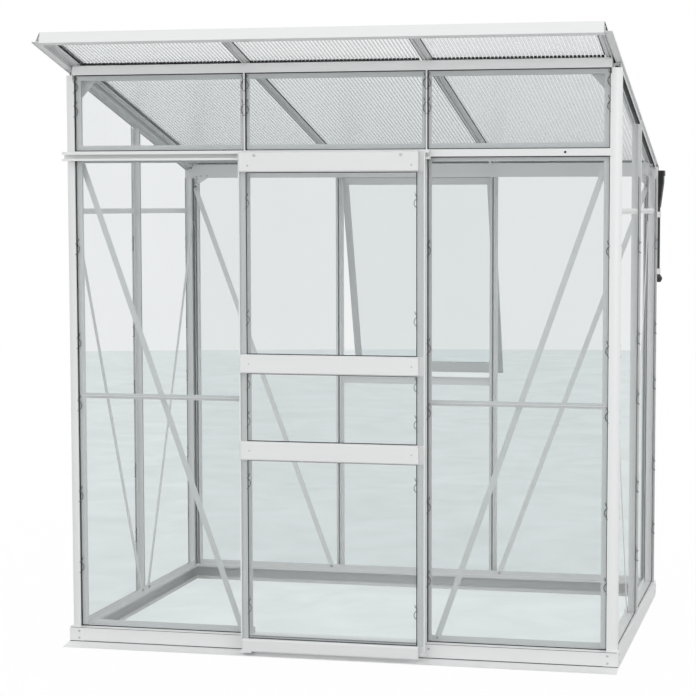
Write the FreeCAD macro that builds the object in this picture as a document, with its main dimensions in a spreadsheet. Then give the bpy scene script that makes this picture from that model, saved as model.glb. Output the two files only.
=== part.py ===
import FreeCAD, Part
import os
import re
import Sketcher

os.makedirs("parts", exist_ok=True)

# Every size that can be set by itself, in millimetres and degrees
sizes = {
    # overall form and base
    "width": 1930,
    "depth": 1310,
    "base_height": 62,
    "base_depth": 44,
    "base_sheet": 2,
    "base_lip": 12.4,
    "bracket_reach": 50,
    "bracket_height": 46,
    "bracket_sheet": 1.5,
    "bracket_rise": 2,
    "lip_reach": 61,
    "lip_sheet": 1.6,
    "lip_top": 10,
    "lip_return": 3,
    "lip_overhang": 3,
    # walls, measured inwards from the outer face of the base
    "wall_setback": 3,
    "glass_setback": 9,
    "glass_thickness": 3,
    "glass_clearance": 0.3,
    "bar_clearance": 0.5,
    "post_clearance": 1,
    "bar_spacing": 630,
    "bar_depth": 35,
    "fin_width": 5,
    "fin_cap": 2.5,
    "web_thickness": 2,
    "flange_width": 33,
    "flange_thickness": 2,
    "channel_width": 12,
    "channel_wall": 1.5,
    "channel_mouth": 7,
    "sill_sheet": 2,
    "sill_upstand": 18,
    "sill_gap": 1,
    "post_radius": 29,
    "post_wall": 2,
    "post_lip": 7,
    "post_reach": 60,
    "post_tip": 4,
    "front_rail_height": 877.5,
    "side_rail_drop": 151.5,
    "rail_face": 19,
    "rail_web_proud": 2,
    "brace_width": 20,
    "brace_thickness": 2,
    "brace_crown": 8,
    "brace_foot_gap": 0.5,
    "front_foot_offset": 32,
    "side_brace_foot": 35,
    "front_brace_drop": 11,
    "back_brace_drop": 66,
    "side_brace_front_drop": 271,
    "side_brace_back_drop": 199,
    "bolt_radius": 3,
    "bolt_clearance": 0.3,
    "bolt_end": 1,
    "bolt_head": 4,
    "bolt_head_width": 7.6,
    "nut_width": 10,
    "nut_height": 4.5,
    "gusset_thickness": 2,
    "gusset_reach": 66,
    "gusset_drop": 84,
    "back_gusset_drop": 50,
    "back_gusset_gap": 2,
    "gusset_edge": 12,
    "gusset_tip": 10,
    # high front wall
    "roof_height": 2018,
    "roof_angle": 13.87,
    "front_beam_drop": 34,
    "front_beam_face": 27,
    "front_beam_lip": 5,
    "front_beam_sheet": 2,
    "front_rebate": 6,
    "beam_leg": 19,
    "beam_wall": 2,
    "beam_top_wall": 3,
    "transom_drop": 319,
    "transom_face": 24,
    "transom_web": 4,
    "transom_proud": 8,
    "transom_strip_top": 44,
    "transom_strip_drop": 16,
    "back_beam_face": 26.3,
    "back_beam_wall": 3,
    "back_beam_lip": 7,
    "back_rebate": 4,
    "gable_top_gap": 9,
    "gable_leg": 15,
    "gable_rebate": 3,
    "gable_lip": 1.7,
    # roof
    "roof_overhang": 274,
    "rafter_edge_inset": 41,
    "rafter_channel": 8,
    "rafter_fin": 5,
    "sheet_thickness": 4,
    "sheet_skin": 0.6,
    "sheet_cell": 13,
    "sheet_clearance": 0.3,
    "sheet_gap": 1,
    "cap_width": 30,
    "cap_clearance": 0.2,
    "cap_gap": 2,
    "cap_thickness": 1.6,
    "cap_rise": 2.4,
    "eave_overhang": 10,
    "fascia_top": 25,
    "fascia_drop": 12,
    "fascia_sheet": 1.6,
    "fascia_leg": 22,
    "fascia_foot": 25,
    "fascia_nose": 5,
    "fascia_inset": 28,
    "verge_inset": 2,
    "verge_flange": 13,
    "verge_lip": 3,
    "verge_drop": 8,
    "verge_lean": 10.5,
    "verge_cover": 34,
    "verge_back_gap": 3,
    # gutter and downpipe
    "gutter_width": 56,
    "gutter_depth": 22,
    "gutter_sheet": 1.6,
    "gutter_rise": 5,
    "gutter_near_drop": 4,
    "gutter_end_inset": 10,
    "outlet_radius": 13,
    "pipe_radius": 27,
    "pipe_wall": 2,
    "pipe_inset": 26,
    "pipe_offset": 35,
    "pipe_drop": 144,
    "pipe_length": 276,
    "hopper_lip_height": 21,
    "hopper_shift": 12,
    "hopper_half": 27.5,
    "hopper_lip": 3,
    "hopper_wall": 2,
    "hopper_body": 24,
    "clip_height": 22,
    "clip_wall": 3,
    "clip_arm": 14,
    "clip_fit": 0.1,
    "clip_low_rise": 16,
    "clip_high_rise": 238,
    "spout_radius": 37,
    "spout_height": 30,
    "spout_wall": 2,
    "spout_fit": 0.2,
    "spout_band_top": 2,
    "spout_band_bottom": 4,
    "spout_mouth_inset": 6,
    # sliding door
    "door_width": 645,
    "door_left": -324,
    "door_front": -45,
    "stile_width": 27,
    "stile_depth": 12,
    "stile_chamber": 16,
    "stile_bottom": 40,
    "stile_rise": 13,
    "door_rail_depth": 15,
    "door_rail_sheet": 1.6,
    "door_rail_bevel": 4,
    "door_rail_left": -315,
    "door_rail_right": 301,
    "top_panel_drop": 50,
    "top_panel_height": 67,
    "upper_rail_bottom": 971,
    "lower_rail_bottom": 675,
    "middle_rail_height": 64,
    "bottom_panel_bottom": 15,
    "bottom_panel_height": 44,
    "glide_width": 14,
    "glide_height": 16,
    "glide_inset": 1,
    # top track and rollers
    "track_sheet": 2,
    "track_depth": 23,
    "track_height": 31,
    "track_drop": 9,
    "track_lip": 5.5,
    "track_top_lip": 8,
    "track_rib": 2,
    "track_rib_width": 2,
    "track_left": -960,
    "track_right": 332,
    "roller_radius": 10,
    "roller_flange": 12,
    "roller_width": 8,
    "roller_groove": 3,
    "roller_gap": 0.3,
    "axle_radius": 2.5,
    "axle_fit": 0.05,
    "axle_head": 3,
    "axle_head_radius": 5,
    "axle_tip": 2,
    "roller_left_edge": 62,
    "roller_right_edge": 79,
    "guide_width": 36,
    "guide_sheet": 2,
    "guide_gap": 1,
    "guide_inset": 6,
    "guide_face_rise": 14,
    "guide_leg_rise": 12,
    "guide_lip_rise": 9,
    # top-hung window in the back wall
    "window_width": 620,
    "window_length": 840,
    "window_depth": 12,
    "window_open": 17,
    "window_top_rail": 29,
    "window_side_rail": 26,
    "window_bottom_rail": 42,
    "window_slot": 8,
    "window_clearance": 4,
    "window_standoff": 3.5,
    "hinge_drop": 14,
    "hinge_setback": 15,
    "bead_radius": 3,
    "bead_fit": 0.1,
    "socket_wall": 1.7,
    "neck_thickness": 2.4,
    "neck_inset": 1,
    "neck_foot": 2,
    "hanger_lap": 1,
    "mouth_low": 18,
    "mouth_high": 118,
    "sill_bar_lap": 7,
    "sill_bar_face": 33,
    "sill_bar_setback": 8,
    "sill_pane_lap": 12,
    # how far a cutting outline runs past what it cuts
    "over": 1,
}

# Lengths that follow from the sizes above
formulas = {
    "glass_face": "(wall_setback + glass_setback)",
    "flange_face": "(glass_face + glass_thickness + glass_clearance)",
    "flange_back": "(flange_face + flange_thickness)",
    "bar_back": "(wall_setback + bar_depth)",
    "brace_back": "(bar_back + brace_thickness)",
    "sill_back": "(brace_back + sill_sheet)",
    "sill_top": "(base_height + sill_sheet)",
    "bar_place": "(bar_spacing / 2)",
    "side_half": "(depth / 2)",
    "front_half": "(width / 2)",
    "post_edge": "(wall_setback + post_radius)",
    "post_inner": "(post_edge + 2 * post_wall)",
    "glass_edge": "(post_inner + post_clearance)",
    "glass_bottom": "(sill_top + glass_clearance)",
    "bar_gap": "(web_thickness / 2 + bar_clearance)",
    "roof_fall": "tan(roof_angle * 1deg)",
    "roof_cosine": "cos(roof_angle * 1deg)",
    "front_beam_bottom": "(roof_height - front_beam_drop)",
    "back_beam_bottom": "(roof_height - roof_fall * (depth - wall_setback) - back_beam_face)",
    "beam_leg_gap": "(bar_back - flange_thickness)",
    "beam_half": "(front_half - post_edge - post_wall)",
    "front_beam_bore": "(front_beam_bottom + front_rebate + beam_wall)",
    "back_beam_bore": "(back_beam_bottom + back_rebate + beam_wall)",
    "transom_bottom": "(roof_height - transom_drop)",
    "front_beam_leg_bottom": "(front_beam_bottom - beam_leg)",
    "front_beam_top": "(front_beam_bottom + front_beam_face)",
    "back_beam_leg_bottom": "(back_beam_bottom - beam_leg)",
    "transom_top": "(transom_bottom + transom_face)",
    "transom_middle": "(transom_bottom + transom_face / 2)",
    "transom_web_low": "(transom_middle - transom_web / 2)",
    "transom_web_high": "(transom_middle + transom_web / 2)",
    "transom_strip_bottom": "(transom_bottom - transom_strip_drop)",
    "transom_strip_high": "(transom_bottom + transom_strip_top)",
    "transom_face_front": "(wall_setback - transom_proud)",
    "rafter_flange_top": "(rafter_channel + flange_thickness)",
    "sheet_bottom": "(rafter_flange_top + sheet_clearance)",
    "sheet_top": "(sheet_bottom + sheet_thickness)",
    "rafter_top": "(rafter_flange_top + rafter_fin)",
    "roof_front": "(-roof_overhang)",
    "roof_back": "((depth - wall_setback) / roof_cosine)",
    "side_rail_height": "(back_beam_bottom - side_rail_drop)",
    "door_back": "(door_front + stile_depth)",
    "stile_top": "(transom_bottom + stile_rise)",
    "top_panel_bottom": "(transom_bottom - top_panel_drop)",
    "track_bottom": "(transom_bottom - track_drop)",
    "door_flange": "(door_front + fin_cap + glass_thickness + glass_clearance)",
    "door_rail_front": "(door_front - door_rail_depth)",
    "track_back": "transom_face_front",
    "track_front": "(track_back - track_sheet - track_depth)",
    "track_floor": "(track_bottom + track_sheet)",
    "track_top": "(track_bottom + track_height)",
    "roller_centre": "(track_floor + track_rib + roller_gap + roller_radius)",
    "roller_middle": "(track_back - track_sheet - track_depth / 2)",
    "socket_radius": "(bead_radius + bead_fit)",
    "socket_outer": "(socket_radius + socket_wall)",
    "hinge_depth": "(depth - hinge_setback)",
    "hinge_height": "(back_beam_bottom - hinge_drop)",
    "sill_bar_bottom": "(hinge_height - window_length + sill_bar_lap)",
    "sill_bar_top": "(sill_bar_bottom + sill_bar_face)",
    "pipe_centre": "(depth + pipe_offset)",
    "gutter_bottom": "(back_beam_bottom + gutter_rise)",
    "gutter_top": "(gutter_bottom + gutter_depth)",
    "gutter_half": "(front_half - gutter_end_inset)",
    "pipe_place": "(front_half - pipe_inset)",
    "pipe_top": "(gutter_bottom - pipe_drop)",
    "pipe_bottom": "(pipe_top - pipe_length)",
    "outlet_place": "(gutter_half - outlet_radius - 2 * gutter_sheet)",
    "hopper_bottom": "(gutter_bottom - hopper_lip_height)",
    "cap_floor": "(sheet_top + sheet_clearance)",
    "brace_foot_height": "(sill_top + brace_width / 2 + brace_foot_gap)",
    "front_brace_foot": "(bar_place + front_foot_offset)",
    "sill_end": "(bar_place - flange_width / 2)",
    "front_sill_start": "(front_half - post_reach - sill_gap)",
    "side_sill_start": "(side_half - post_reach - sill_gap)",
    "back_post_top": "(roof_height - roof_fall * (depth - wall_setback) - verge_drop / roof_cosine)",
    "gable_bottom": "(gable_top_gap + gable_leg)",
    "gable_slot_drop": "((gable_top_gap + gable_rebate) / roof_cosine)",
    "side_bar_top": "(roof_height - roof_fall * (side_half + flange_width / 2) - gable_bottom / roof_cosine)",
    "side_tip_top": "(roof_height - roof_fall * (side_half + fin_width / 2) - gable_slot_drop)",
    "front_rail_out": "(front_half - post_reach)",
    "front_rail_in": "(bar_place + flange_width / 2)",
    "side_rail_out": "(side_half - post_reach)",
    "side_rail_in": "(flange_width / 2)",
    "rafter_edge": "(front_half - rafter_edge_inset)",
    "sheet_side": "(rafter_edge - bar_gap)",
    "post_channel": "(post_reach - post_tip - channel_width / 2)",
    "front_brace_head": "(front_half - post_channel)",
    "side_brace_head": "(side_half - post_channel)",
    "front_brace_top": "(transom_bottom - front_brace_drop)",
    "back_brace_top": "(back_beam_bottom - back_brace_drop)",
    "side_brace_front_top": "(back_beam_bottom - side_brace_front_drop)",
    "side_brace_back_top": "(back_beam_bottom - side_brace_back_drop)",
    "channel_head": "(bar_back - channel_wall - bolt_head)",
    "sill_head": "(bar_back - bolt_head)",
    "front_pane_out": "(front_half - glass_edge)",
    "pane_in": "(bar_place + bar_gap)",
    "pane_middle": "(bar_place - bar_gap)",
    "side_pane_out": "(side_half - glass_edge)",
    "rail_web": "(web_thickness / 2 + glass_clearance)",
    "transom_slot_low": "(transom_web_low - glass_clearance)",
    "transom_slot_high": "(transom_web_high + glass_clearance)",
    "front_slot": "(front_beam_bottom + front_rebate - glass_clearance)",
    "back_slot": "(back_beam_bottom + back_rebate - glass_clearance)",
    "roller_left": "(door_left + roller_left_edge)",
    "roller_right": "(door_left + door_width - roller_right_edge)",
    "window_near": "window_standoff",
    "window_far": "(window_standoff + window_depth)",
    "slot_near": "(window_near + (window_depth - glass_thickness) / 2 - glass_clearance)",
    "slot_far": "(window_near + (window_depth + glass_thickness) / 2 + glass_clearance)",
    "window_top": "(-2 * window_clearance)",
    "window_half": "(window_width / 2)",
    "window_top_low": "(window_top - window_top_rail)",
    "window_foot": "(-window_length)",
    "window_foot_high": "(window_foot + window_bottom_rail)",
    "ring_end": "(mouth_low + 360)",
    "ring_middle": "((mouth_high + ring_end) / 2)",
    "ring_near": "((mouth_high + ring_middle) / 2)",
    "ring_far": "((ring_middle + ring_end) / 2)",
}

doc = FreeCAD.newDocument("greenhouse")
sheet = doc.addObject("Spreadsheet::Sheet", "Sizes")
for row, (name, number) in enumerate(sizes.items(), start=1):
    sheet.set("A%d" % row, name)
    sheet.set("B%d" % row, str(number))
    sheet.setAlias("B%d" % row, name)
doc.recompute()

WORD = re.compile(r"[a-z_]+")


def bound(text):
    """Write a length as an expression on the sheet, with every formula spelt out."""

    def spelt(found):
        word = found.group(0)
        if word in formulas:
            return bound(formulas[word])
        if word in sizes:
            return "Sizes." + word
        return word

    return WORD.sub(spelt, text)


def number(text):
    """The present value of a length."""
    return float(sheet.evalExpression(bound(text)))


def origin_plane(body, role):
    return [plane for plane in body.Origin.OriginFeatures if plane.Role == role][0]


def pin_point(sketch, line, end, spot, x, y):
    """Tie one end of a line to its two coordinates."""
    tiny = 1e-7
    if abs(spot.x) < tiny:
        sketch.addConstraint(Sketcher.Constraint("PointOnObject", line, end, -2))
    else:
        index = sketch.addConstraint(Sketcher.Constraint("DistanceX", -1, 1, line, end, spot.x))
        sketch.setExpression("Constraints[%d]" % index, bound(x))
    if abs(spot.y) < tiny:
        sketch.addConstraint(Sketcher.Constraint("PointOnObject", line, end, -1))
    else:
        index = sketch.addConstraint(Sketcher.Constraint("DistanceY", -1, 1, line, end, spot.y))
        sketch.setExpression("Constraints[%d]" % index, bound(y))


def draw_circle(sketch, x, y, radius):
    centre = FreeCAD.Vector(number(x), number(y), 0)
    index = sketch.addGeometry(Part.Circle(centre, FreeCAD.Vector(0, 0, 1), number(radius)), False)
    pin_point(sketch, index, 3, centre, x, y)
    rule = sketch.addConstraint(Sketcher.Constraint("Radius", index, number(radius)))
    sketch.setExpression("Constraints[%d]" % rule, bound(radius))


def draw_loop(sketch, points):
    """A closed outline: corners as (x, y), and an arc's middle as (x, y, radius) between two corners."""
    corners = [point for point in points if len(point) == 2]
    spots = {point: FreeCAD.Vector(number(point[0]), number(point[1]), 0) for point in points_of(points)}
    first = len(sketch.Geometry)
    radii = []
    count = len(points)
    edge = first
    for place, point in enumerate(points):
        if len(point) == 3:
            continue
        after = points[(place + 1) % count]
        if len(after) == 3:
            last = points[(place + 2) % count]
            sketch.addGeometry(Part.Arc(spots[point], spots[after[:2]], spots[last]), False)
            radii.append((edge, after[2]))
        else:
            sketch.addGeometry(Part.LineSegment(spots[point], spots[after]), False)
        edge += 1
    total = edge - first
    ends = [edge_ends(sketch, first + step, spots[corners[step]]) for step in range(total)]
    for step in range(total):
        after = (step + 1) % total
        sketch.addConstraint(
            Sketcher.Constraint("Coincident", first + step, ends[step][1], first + after, ends[after][0])
        )
    for step, corner in enumerate(corners):
        pin_point(sketch, first + step, ends[step][0], spots[corner], corner[0], corner[1])
    for curve, radius in radii:
        rule = sketch.addConstraint(Sketcher.Constraint("Radius", curve, number(radius)))
        sketch.setExpression("Constraints[%d]" % rule, bound(radius))


def points_of(points):
    return [point[:2] for point in points]


def edge_ends(sketch, index, start):
    """Which end of an edge is its first one: an arc may be stored the other way round."""
    if sketch.getPoint(index, 1).distanceToPoint(start) < 1e-4:
        return 1, 2
    return 2, 1


def add_sketch(body, role, loops, start, offset=None):
    """A sketch on one of the body's planes, moved along the plane's normal by start."""
    sketch = body.newObject("Sketcher::SketchObject", body.Label + "_outline")
    sketch.AttachmentSupport = [(origin_plane(body, role), "")]
    sketch.MapMode = "FlatFace"
    along = "-(%s)" % start if role == "XZ_Plane" else start
    sketch.setExpression("AttachmentOffset.Base.z", bound(along))
    if offset:
        sketch.setExpression("AttachmentOffset.Base.x", bound(offset[0]))
        sketch.setExpression("AttachmentOffset.Base.y", bound(offset[1]))
        sketch.setExpression("AttachmentOffset.Rotation.Angle", bound(offset[2]))
    for loop in loops:
        if loop[0] == "circle":
            draw_circle(sketch, *loop[1:])
        else:
            draw_loop(sketch, loop)
    return sketch


def grow(body, role, loops, start, length, offset=None):
    """Pad an outline: along Z on XY_Plane, along X on YZ_Plane and along +Y on XZ_Plane."""
    sketch = add_sketch(body, role, loops, start, offset)
    pad = body.newObject("PartDesign::Pad", body.Label + "_pad")
    pad.Profile = sketch
    pad.setExpression("Length", bound(length))
    pad.Reversed = role == "XZ_Plane"
    body.Tip = pad
    return pad


def cut(body, role, loops, start, length, offset=None):
    """Pocket an outline, in the same directions as grow."""
    sketch = add_sketch(body, role, loops, start, offset)
    pocket = body.newObject("PartDesign::Pocket", body.Label + "_pocket")
    pocket.Profile = sketch
    pocket.setExpression("Length", bound(length))
    pocket.Reversed = role != "XZ_Plane"
    body.Tip = pocket
    pockets.append(pocket)
    return pocket


def turn(body, loops, axis="V_Axis", role="XZ_Plane"):
    """Revolve an outline about one of the sketch's axes."""
    sketch = add_sketch(body, role, loops, "0")
    revolution = body.newObject("PartDesign::Revolution", body.Label + "_turned")
    revolution.Profile = sketch
    revolution.ReferenceAxis = (sketch, [axis])
    revolution.Angle = 360
    body.Tip = revolution
    return revolution


pockets = []
pieces = []

# Each wall's frame: its turn about Z and the point where its middle meets the base's outer face
walls = {
    "front": (0, "0", "0"),
    "back": (180, "0", "depth"),
    "left": (-90, "-front_half", "side_half"),
    "right": (90, "front_half", "side_half"),
}


def new_body(label):
    body = doc.addObject("PartDesign::Body", label)
    body.Label = label
    return body


def set_place(body, x, y, z, axis=(0, 0, 1), angle="0"):
    """Place a body; y is measured from the base's front face, and the frame's origin is mid rail."""
    body.Placement = FreeCAD.Placement(FreeCAD.Vector(),
                                       FreeCAD.Rotation(FreeCAD.Vector(*axis), number(angle)))
    body.setExpression("Placement.Base.x", bound(x))
    body.setExpression("Placement.Base.y", bound("%s - base_depth / 2" % y))
    body.setExpression("Placement.Base.z", bound(z))
    if angle != "0":
        body.setExpression("Placement.Rotation.Angle", bound(angle))


def on_wall(body, wall, u="0", z="0"):
    """Place a body in a wall's frame: u along the wall, depth inwards, z up."""
    angle, x, y = walls[wall]
    along = {"front": ("+", ""), "back": ("-", ""), "left": ("", "-"), "right": ("", "+")}[wall]
    if along[0]:
        x = "%s %s (%s)" % (x, along[0], u)
    if along[1]:
        y = "%s %s (%s)" % (y, along[1], u)
    body.Placement = FreeCAD.Placement(FreeCAD.Vector(), FreeCAD.Rotation(FreeCAD.Vector(0, 0, 1), angle))
    body.setExpression("Placement.Base.x", bound(x))
    body.setExpression("Placement.Base.y", bound("%s - base_depth / 2" % y))
    body.setExpression("Placement.Base.z", bound(z))
    return body


def in_roof(body):
    """Place a body in the roof's frame: y down the slope from the front wall, z square to it."""
    set_place(body, "0", "0", "roof_height", (1, 0, 0), "-roof_angle")
    return body


def keep(piece):
    pieces.append(piece)
    return piece


def group(label, members):
    """One node for several like pieces, each a solid of its own."""
    bundle = doc.addObject("Part::Compound", label)
    bundle.Label = label
    bundle.Links = members
    return keep(bundle)


def box_loop(x0, y0, x1, y1):
    return [(x0, y0), (x1, y0), (x1, y1), (x0, y1)]


def polygon(x, y, radius, sides):
    """A regular outline with its first corner along the first direction."""
    turns = ["%gdeg" % (360 * step / sides) for step in range(sides)]
    return [("(%s) + %s * cos(%s)" % (x, radius, angle), "(%s) + %s * sin(%s)" % (y, radius, angle))
            for angle in turns]


bolt_sides = 8


# Base frame


def base_rail(label, wall, half):
    """A folded channel, open inwards, with both ends mitred at 45 degrees."""
    body = new_body(label)
    inner = "base_depth - base_sheet"
    profile = [
        ("0", "0"), ("base_depth", "0"), ("base_depth", "base_lip"), (inner, "base_lip"),
        (inner, "base_sheet"), ("base_sheet", "base_sheet"), ("base_sheet", "base_height - base_sheet"),
        (inner, "base_height - base_sheet"), (inner, "base_height - base_lip"),
        ("base_depth", "base_height - base_lip"),
        ("base_depth", "base_height"), ("0", "base_height"),
    ]
    grow(body, "YZ_Plane", [profile], "-(%s)" % half, "2 * (%s)" % half)
    for side in ("-", ""):
        corner = [
            ("%s(%s)" % (side, half), "0"),
            ("%s(%s - base_depth)" % (side, half), "base_depth"),
            ("%s(%s)" % (side, half), "base_depth"),
        ]
        cut(body, "XY_Plane", [corner], "0", "base_height")
    return on_wall(body, wall)


keep(base_rail("base_front_rail", "front", "front_half"))
keep(base_rail("base_back_rail", "back", "front_half"))
group("base_side_rails", [base_rail("base_%s_rail" % wall, wall, "side_half") for wall in ("left", "right")])

corners = {
    "front_left": ("-front_half", "0", 0),
    "front_right": ("front_half", "0", 90),
    "back_right": ("front_half", "depth", 180),
    "back_left": ("-front_half", "depth", 270),
}


def on_corner(body, corner, z="0"):
    """Place a body in a corner's frame: x and y run along the two walls from the outer corner."""
    x, y, angle = corners[corner]
    set_place(body, x, y, z)
    body.Placement = FreeCAD.Placement(body.Placement.Base, FreeCAD.Rotation(FreeCAD.Vector(0, 0, 1), angle))
    return body


def corner_bracket(corner):
    """An angle plate round the outside of two base rails."""
    body = new_body("bracket_" + corner)
    outline = [
        ("-bracket_sheet", "-bracket_sheet"), ("bracket_reach", "-bracket_sheet"), ("bracket_reach", "0"),
        ("0", "0"), ("0", "bracket_reach"), ("-bracket_sheet", "bracket_reach"),
    ]
    grow(body, "XY_Plane", [outline], "(base_height - bracket_height) / 2 + bracket_rise", "bracket_height")
    return on_corner(body, corner)


group("base_corner_brackets", [corner_bracket(corner) for corner in corners])

lip = new_body("front_sill_lip")
lip_outline = [
    ("0", "lip_top"), ("-lip_reach", "lip_sheet"), ("-lip_reach", "0"), ("lip_return - lip_reach", "0"),
    ("lip_return - lip_reach", "lip_sheet / 2"), ("0", "lip_top - lip_sheet"),
]
grow(lip, "YZ_Plane", [lip_outline], "-front_half - lip_overhang", "width + 2 * lip_overhang")
keep(on_wall(lip, "front"))


# Sill bars: a foot on the base and an upstand behind the braces


def sill_bar(label, wall, start, end, bolt_places):
    body = new_body(label)
    outline = [
        ("wall_setback", "base_height"), ("sill_back", "base_height"),
        ("sill_back", "sill_top + sill_upstand"),
        ("brace_back", "sill_top + sill_upstand"), ("brace_back", "sill_top"), ("wall_setback", "sill_top"),
    ]
    grow(body, "YZ_Plane", [outline], start, "(%s) - (%s)" % (end, start))
    for place in bolt_places:
        hole = polygon(place, "brace_foot_height", "(bolt_radius + bolt_clearance)", bolt_sides)
        cut(body, "XZ_Plane", [hole], "brace_back - over", "sill_sheet + 2 * over")
    return on_wall(body, wall)


group("front_sill_bars", [
    sill_bar("front_left_sill", "front", "-front_sill_start", "-sill_end", ["-front_brace_foot"]),
    sill_bar("front_right_sill", "front", "sill_end", "front_sill_start", ["front_brace_foot"]),
])
keep(sill_bar("back_sill_bar", "back", "-front_sill_start", "front_sill_start",
              ["-front_brace_foot", "front_brace_foot"]))
group("side_sill_bars", [
    sill_bar(wall + "_sill_bar", wall, "-side_sill_start", "side_sill_start",
             ["-side_brace_foot", "side_brace_foot"])
    for wall in ("left", "right")
])


# Corner posts: a quarter-round chamber with a glazing rebate and a bolt channel towards each wall


def post_arm():
    """The arm that runs along the first wall, from the outer lip round to the inner corner."""
    channel = "(post_reach - post_tip)"
    far = channel + " - channel_wall"
    near = "(post_reach - post_tip - channel_width)"
    lip_back = "(bar_back - channel_wall)"
    return [
        ("post_edge", "wall_setback"), ("post_edge + post_lip", "wall_setback"),
        ("post_edge + post_lip", "wall_setback + post_wall"),
        ("post_edge + post_wall", "wall_setback + post_wall"),
        ("post_edge + post_wall", "flange_face"), ("post_reach", "flange_face"),
        ("post_reach", "flange_back"),
        (channel, "flange_back"), (channel, "bar_back"),
        (near + " + (channel_width + channel_mouth) / 2", "bar_back"),
        (near + " + (channel_width + channel_mouth) / 2", lip_back), (far, lip_back),
        (far, "flange_back + channel_wall"), (near + " + channel_wall", "flange_back + channel_wall"),
        (near + " + channel_wall", lip_back), (near + " + (channel_width - channel_mouth) / 2", lip_back),
        (near + " + (channel_width - channel_mouth) / 2", "bar_back"), (near, "bar_back"),
        (near, "flange_back"),
        ("post_inner", "flange_back"),
    ]


def corner_post(corner, top, leg_top):
    """The whole section up to the beam's legs, and the outer chamber alone beside the beam."""
    body = new_body("corner_post_" + corner)
    arm = post_arm()
    mirrored = [(y, x) for x, y in reversed(arm)]
    bend = "post_edge - post_radius * cos(45deg)"
    outline = arm + [("post_inner", "post_inner")] + mirrored + [(bend, bend, "post_radius")]
    bore_radius = "(post_radius - post_wall)"
    bore_bend = "post_edge - %s * cos(45deg)" % bore_radius
    bore = [
        ("post_edge", "wall_setback + post_wall"), ("post_edge", "post_edge"),
        ("wall_setback + post_wall", "post_edge"), (bore_bend, bore_bend, bore_radius),
    ]
    grow(body, "XY_Plane", [outline, bore], "base_height", "%s - base_height" % leg_top)
    chamber = [
        ("post_edge", "wall_setback"), ("post_edge + post_wall", "wall_setback"),
        ("post_edge + post_wall", "post_edge + post_wall"), ("wall_setback", "post_edge + post_wall"),
        ("wall_setback", "post_edge"), (bend, bend, "post_radius"),
    ]
    grow(body, "XY_Plane", [chamber, bore], leg_top, "%s - (%s)" % (top, leg_top))
    return on_corner(body, corner)


group("front_corner_posts", [
    corner_post(corner, "front_beam_bottom", "front_beam_leg_bottom")
    for corner in ("front_left", "front_right")
])
group("back_corner_posts", [
    corner_post(corner, "back_post_top", "back_beam_leg_bottom")
    for corner in ("back_left", "back_right")
])


# Glazing bars: a fin outside, a flange behind the glass and a bolt channel inside


def fin_outline(centre, front, back):
    cap = "(%s + fin_cap)" % front
    return [
        (centre + " - fin_width / 2", front), (centre + " + fin_width / 2", front),
        (centre + " + fin_width / 2", cap), (centre + " + web_thickness / 2", cap),
        (centre + " + web_thickness / 2", back), (centre + " - web_thickness / 2", back),
        (centre + " - web_thickness / 2", cap), (centre + " - fin_width / 2", cap),
    ]


def flange_outline(centre, face, back):
    """A flange with an open bolt channel on its back; face and back may run either way."""
    step = "flange_thickness"
    half = "channel_width / 2"
    mouth = "channel_mouth / 2"
    floor = "(%s + %s + channel_wall)" % (face, step)
    lip_back = "(%s - channel_wall)" % back
    right = [
        ("flange_width / 2", face), ("flange_width / 2", "%s + %s" % (face, step)),
        (half, "%s + %s" % (face, step)),
        (half, back), (mouth, back), (mouth, lip_back), (half + " - channel_wall", lip_back),
        (half + " - channel_wall", floor),
    ]
    left = [("-(%s)" % x, y) for x, y in reversed(right)]
    return [("%s + %s" % (centre, x) if not x.startswith("-") else "%s %s" % (centre, x), y)
            for x, y in right + left]


def glazing_bar(label, wall, u, flange_bottom, flange_top, fin_bottom, fin_top):
    """A wall bar whose fin and flange stop where the rails across them need it."""
    body = new_body(label)
    grow(body, "XY_Plane", [flange_outline("0", "flange_face", "bar_back")], flange_bottom,
         "(%s) - (%s)" % (flange_top, flange_bottom))
    grow(body, "XY_Plane", [fin_outline("0", "wall_setback", "flange_face")], fin_bottom,
         "(%s) - (%s)" % (fin_top, fin_bottom))
    return on_wall(body, wall, u)


signs = (("left", "-"), ("right", ""))
group("front_bars", [
    glazing_bar("front_bar_" + side, "front", sign + "bar_place", "sill_top", "transom_strip_bottom",
                "sill_top", "transom_bottom")
    for side, sign in signs
])
group("clerestory_bars", [
    glazing_bar("clerestory_bar_" + side, "front", sign + "bar_place", "transom_strip_high",
                "front_beam_leg_bottom", "transom_top", "front_beam_bottom")
    for side, sign in signs
])
group("back_bars", [
    glazing_bar("back_bar_" + side, "back", sign + "bar_place", "sill_top", "back_beam_leg_bottom",
                "sill_top", "back_beam_bottom")
    for side, sign in signs
])


def side_wall_bar(wall):
    """A wall bar whose fin runs on as a tongue outside the gable bar."""
    body = glazing_bar(wall + "_wall_bar", wall, "0", "sill_top", "side_bar_top", "sill_top", "side_bar_top")
    tongue = box_loop("-fin_width / 2", "wall_setback", "fin_width / 2", "wall_setback + fin_cap")
    grow(body, "XY_Plane", [tongue], "side_bar_top", "side_tip_top - side_bar_top")
    return body


group("side_wall_bars", [side_wall_bar(wall) for wall in ("left", "right")])


# Rails across the walls


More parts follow.
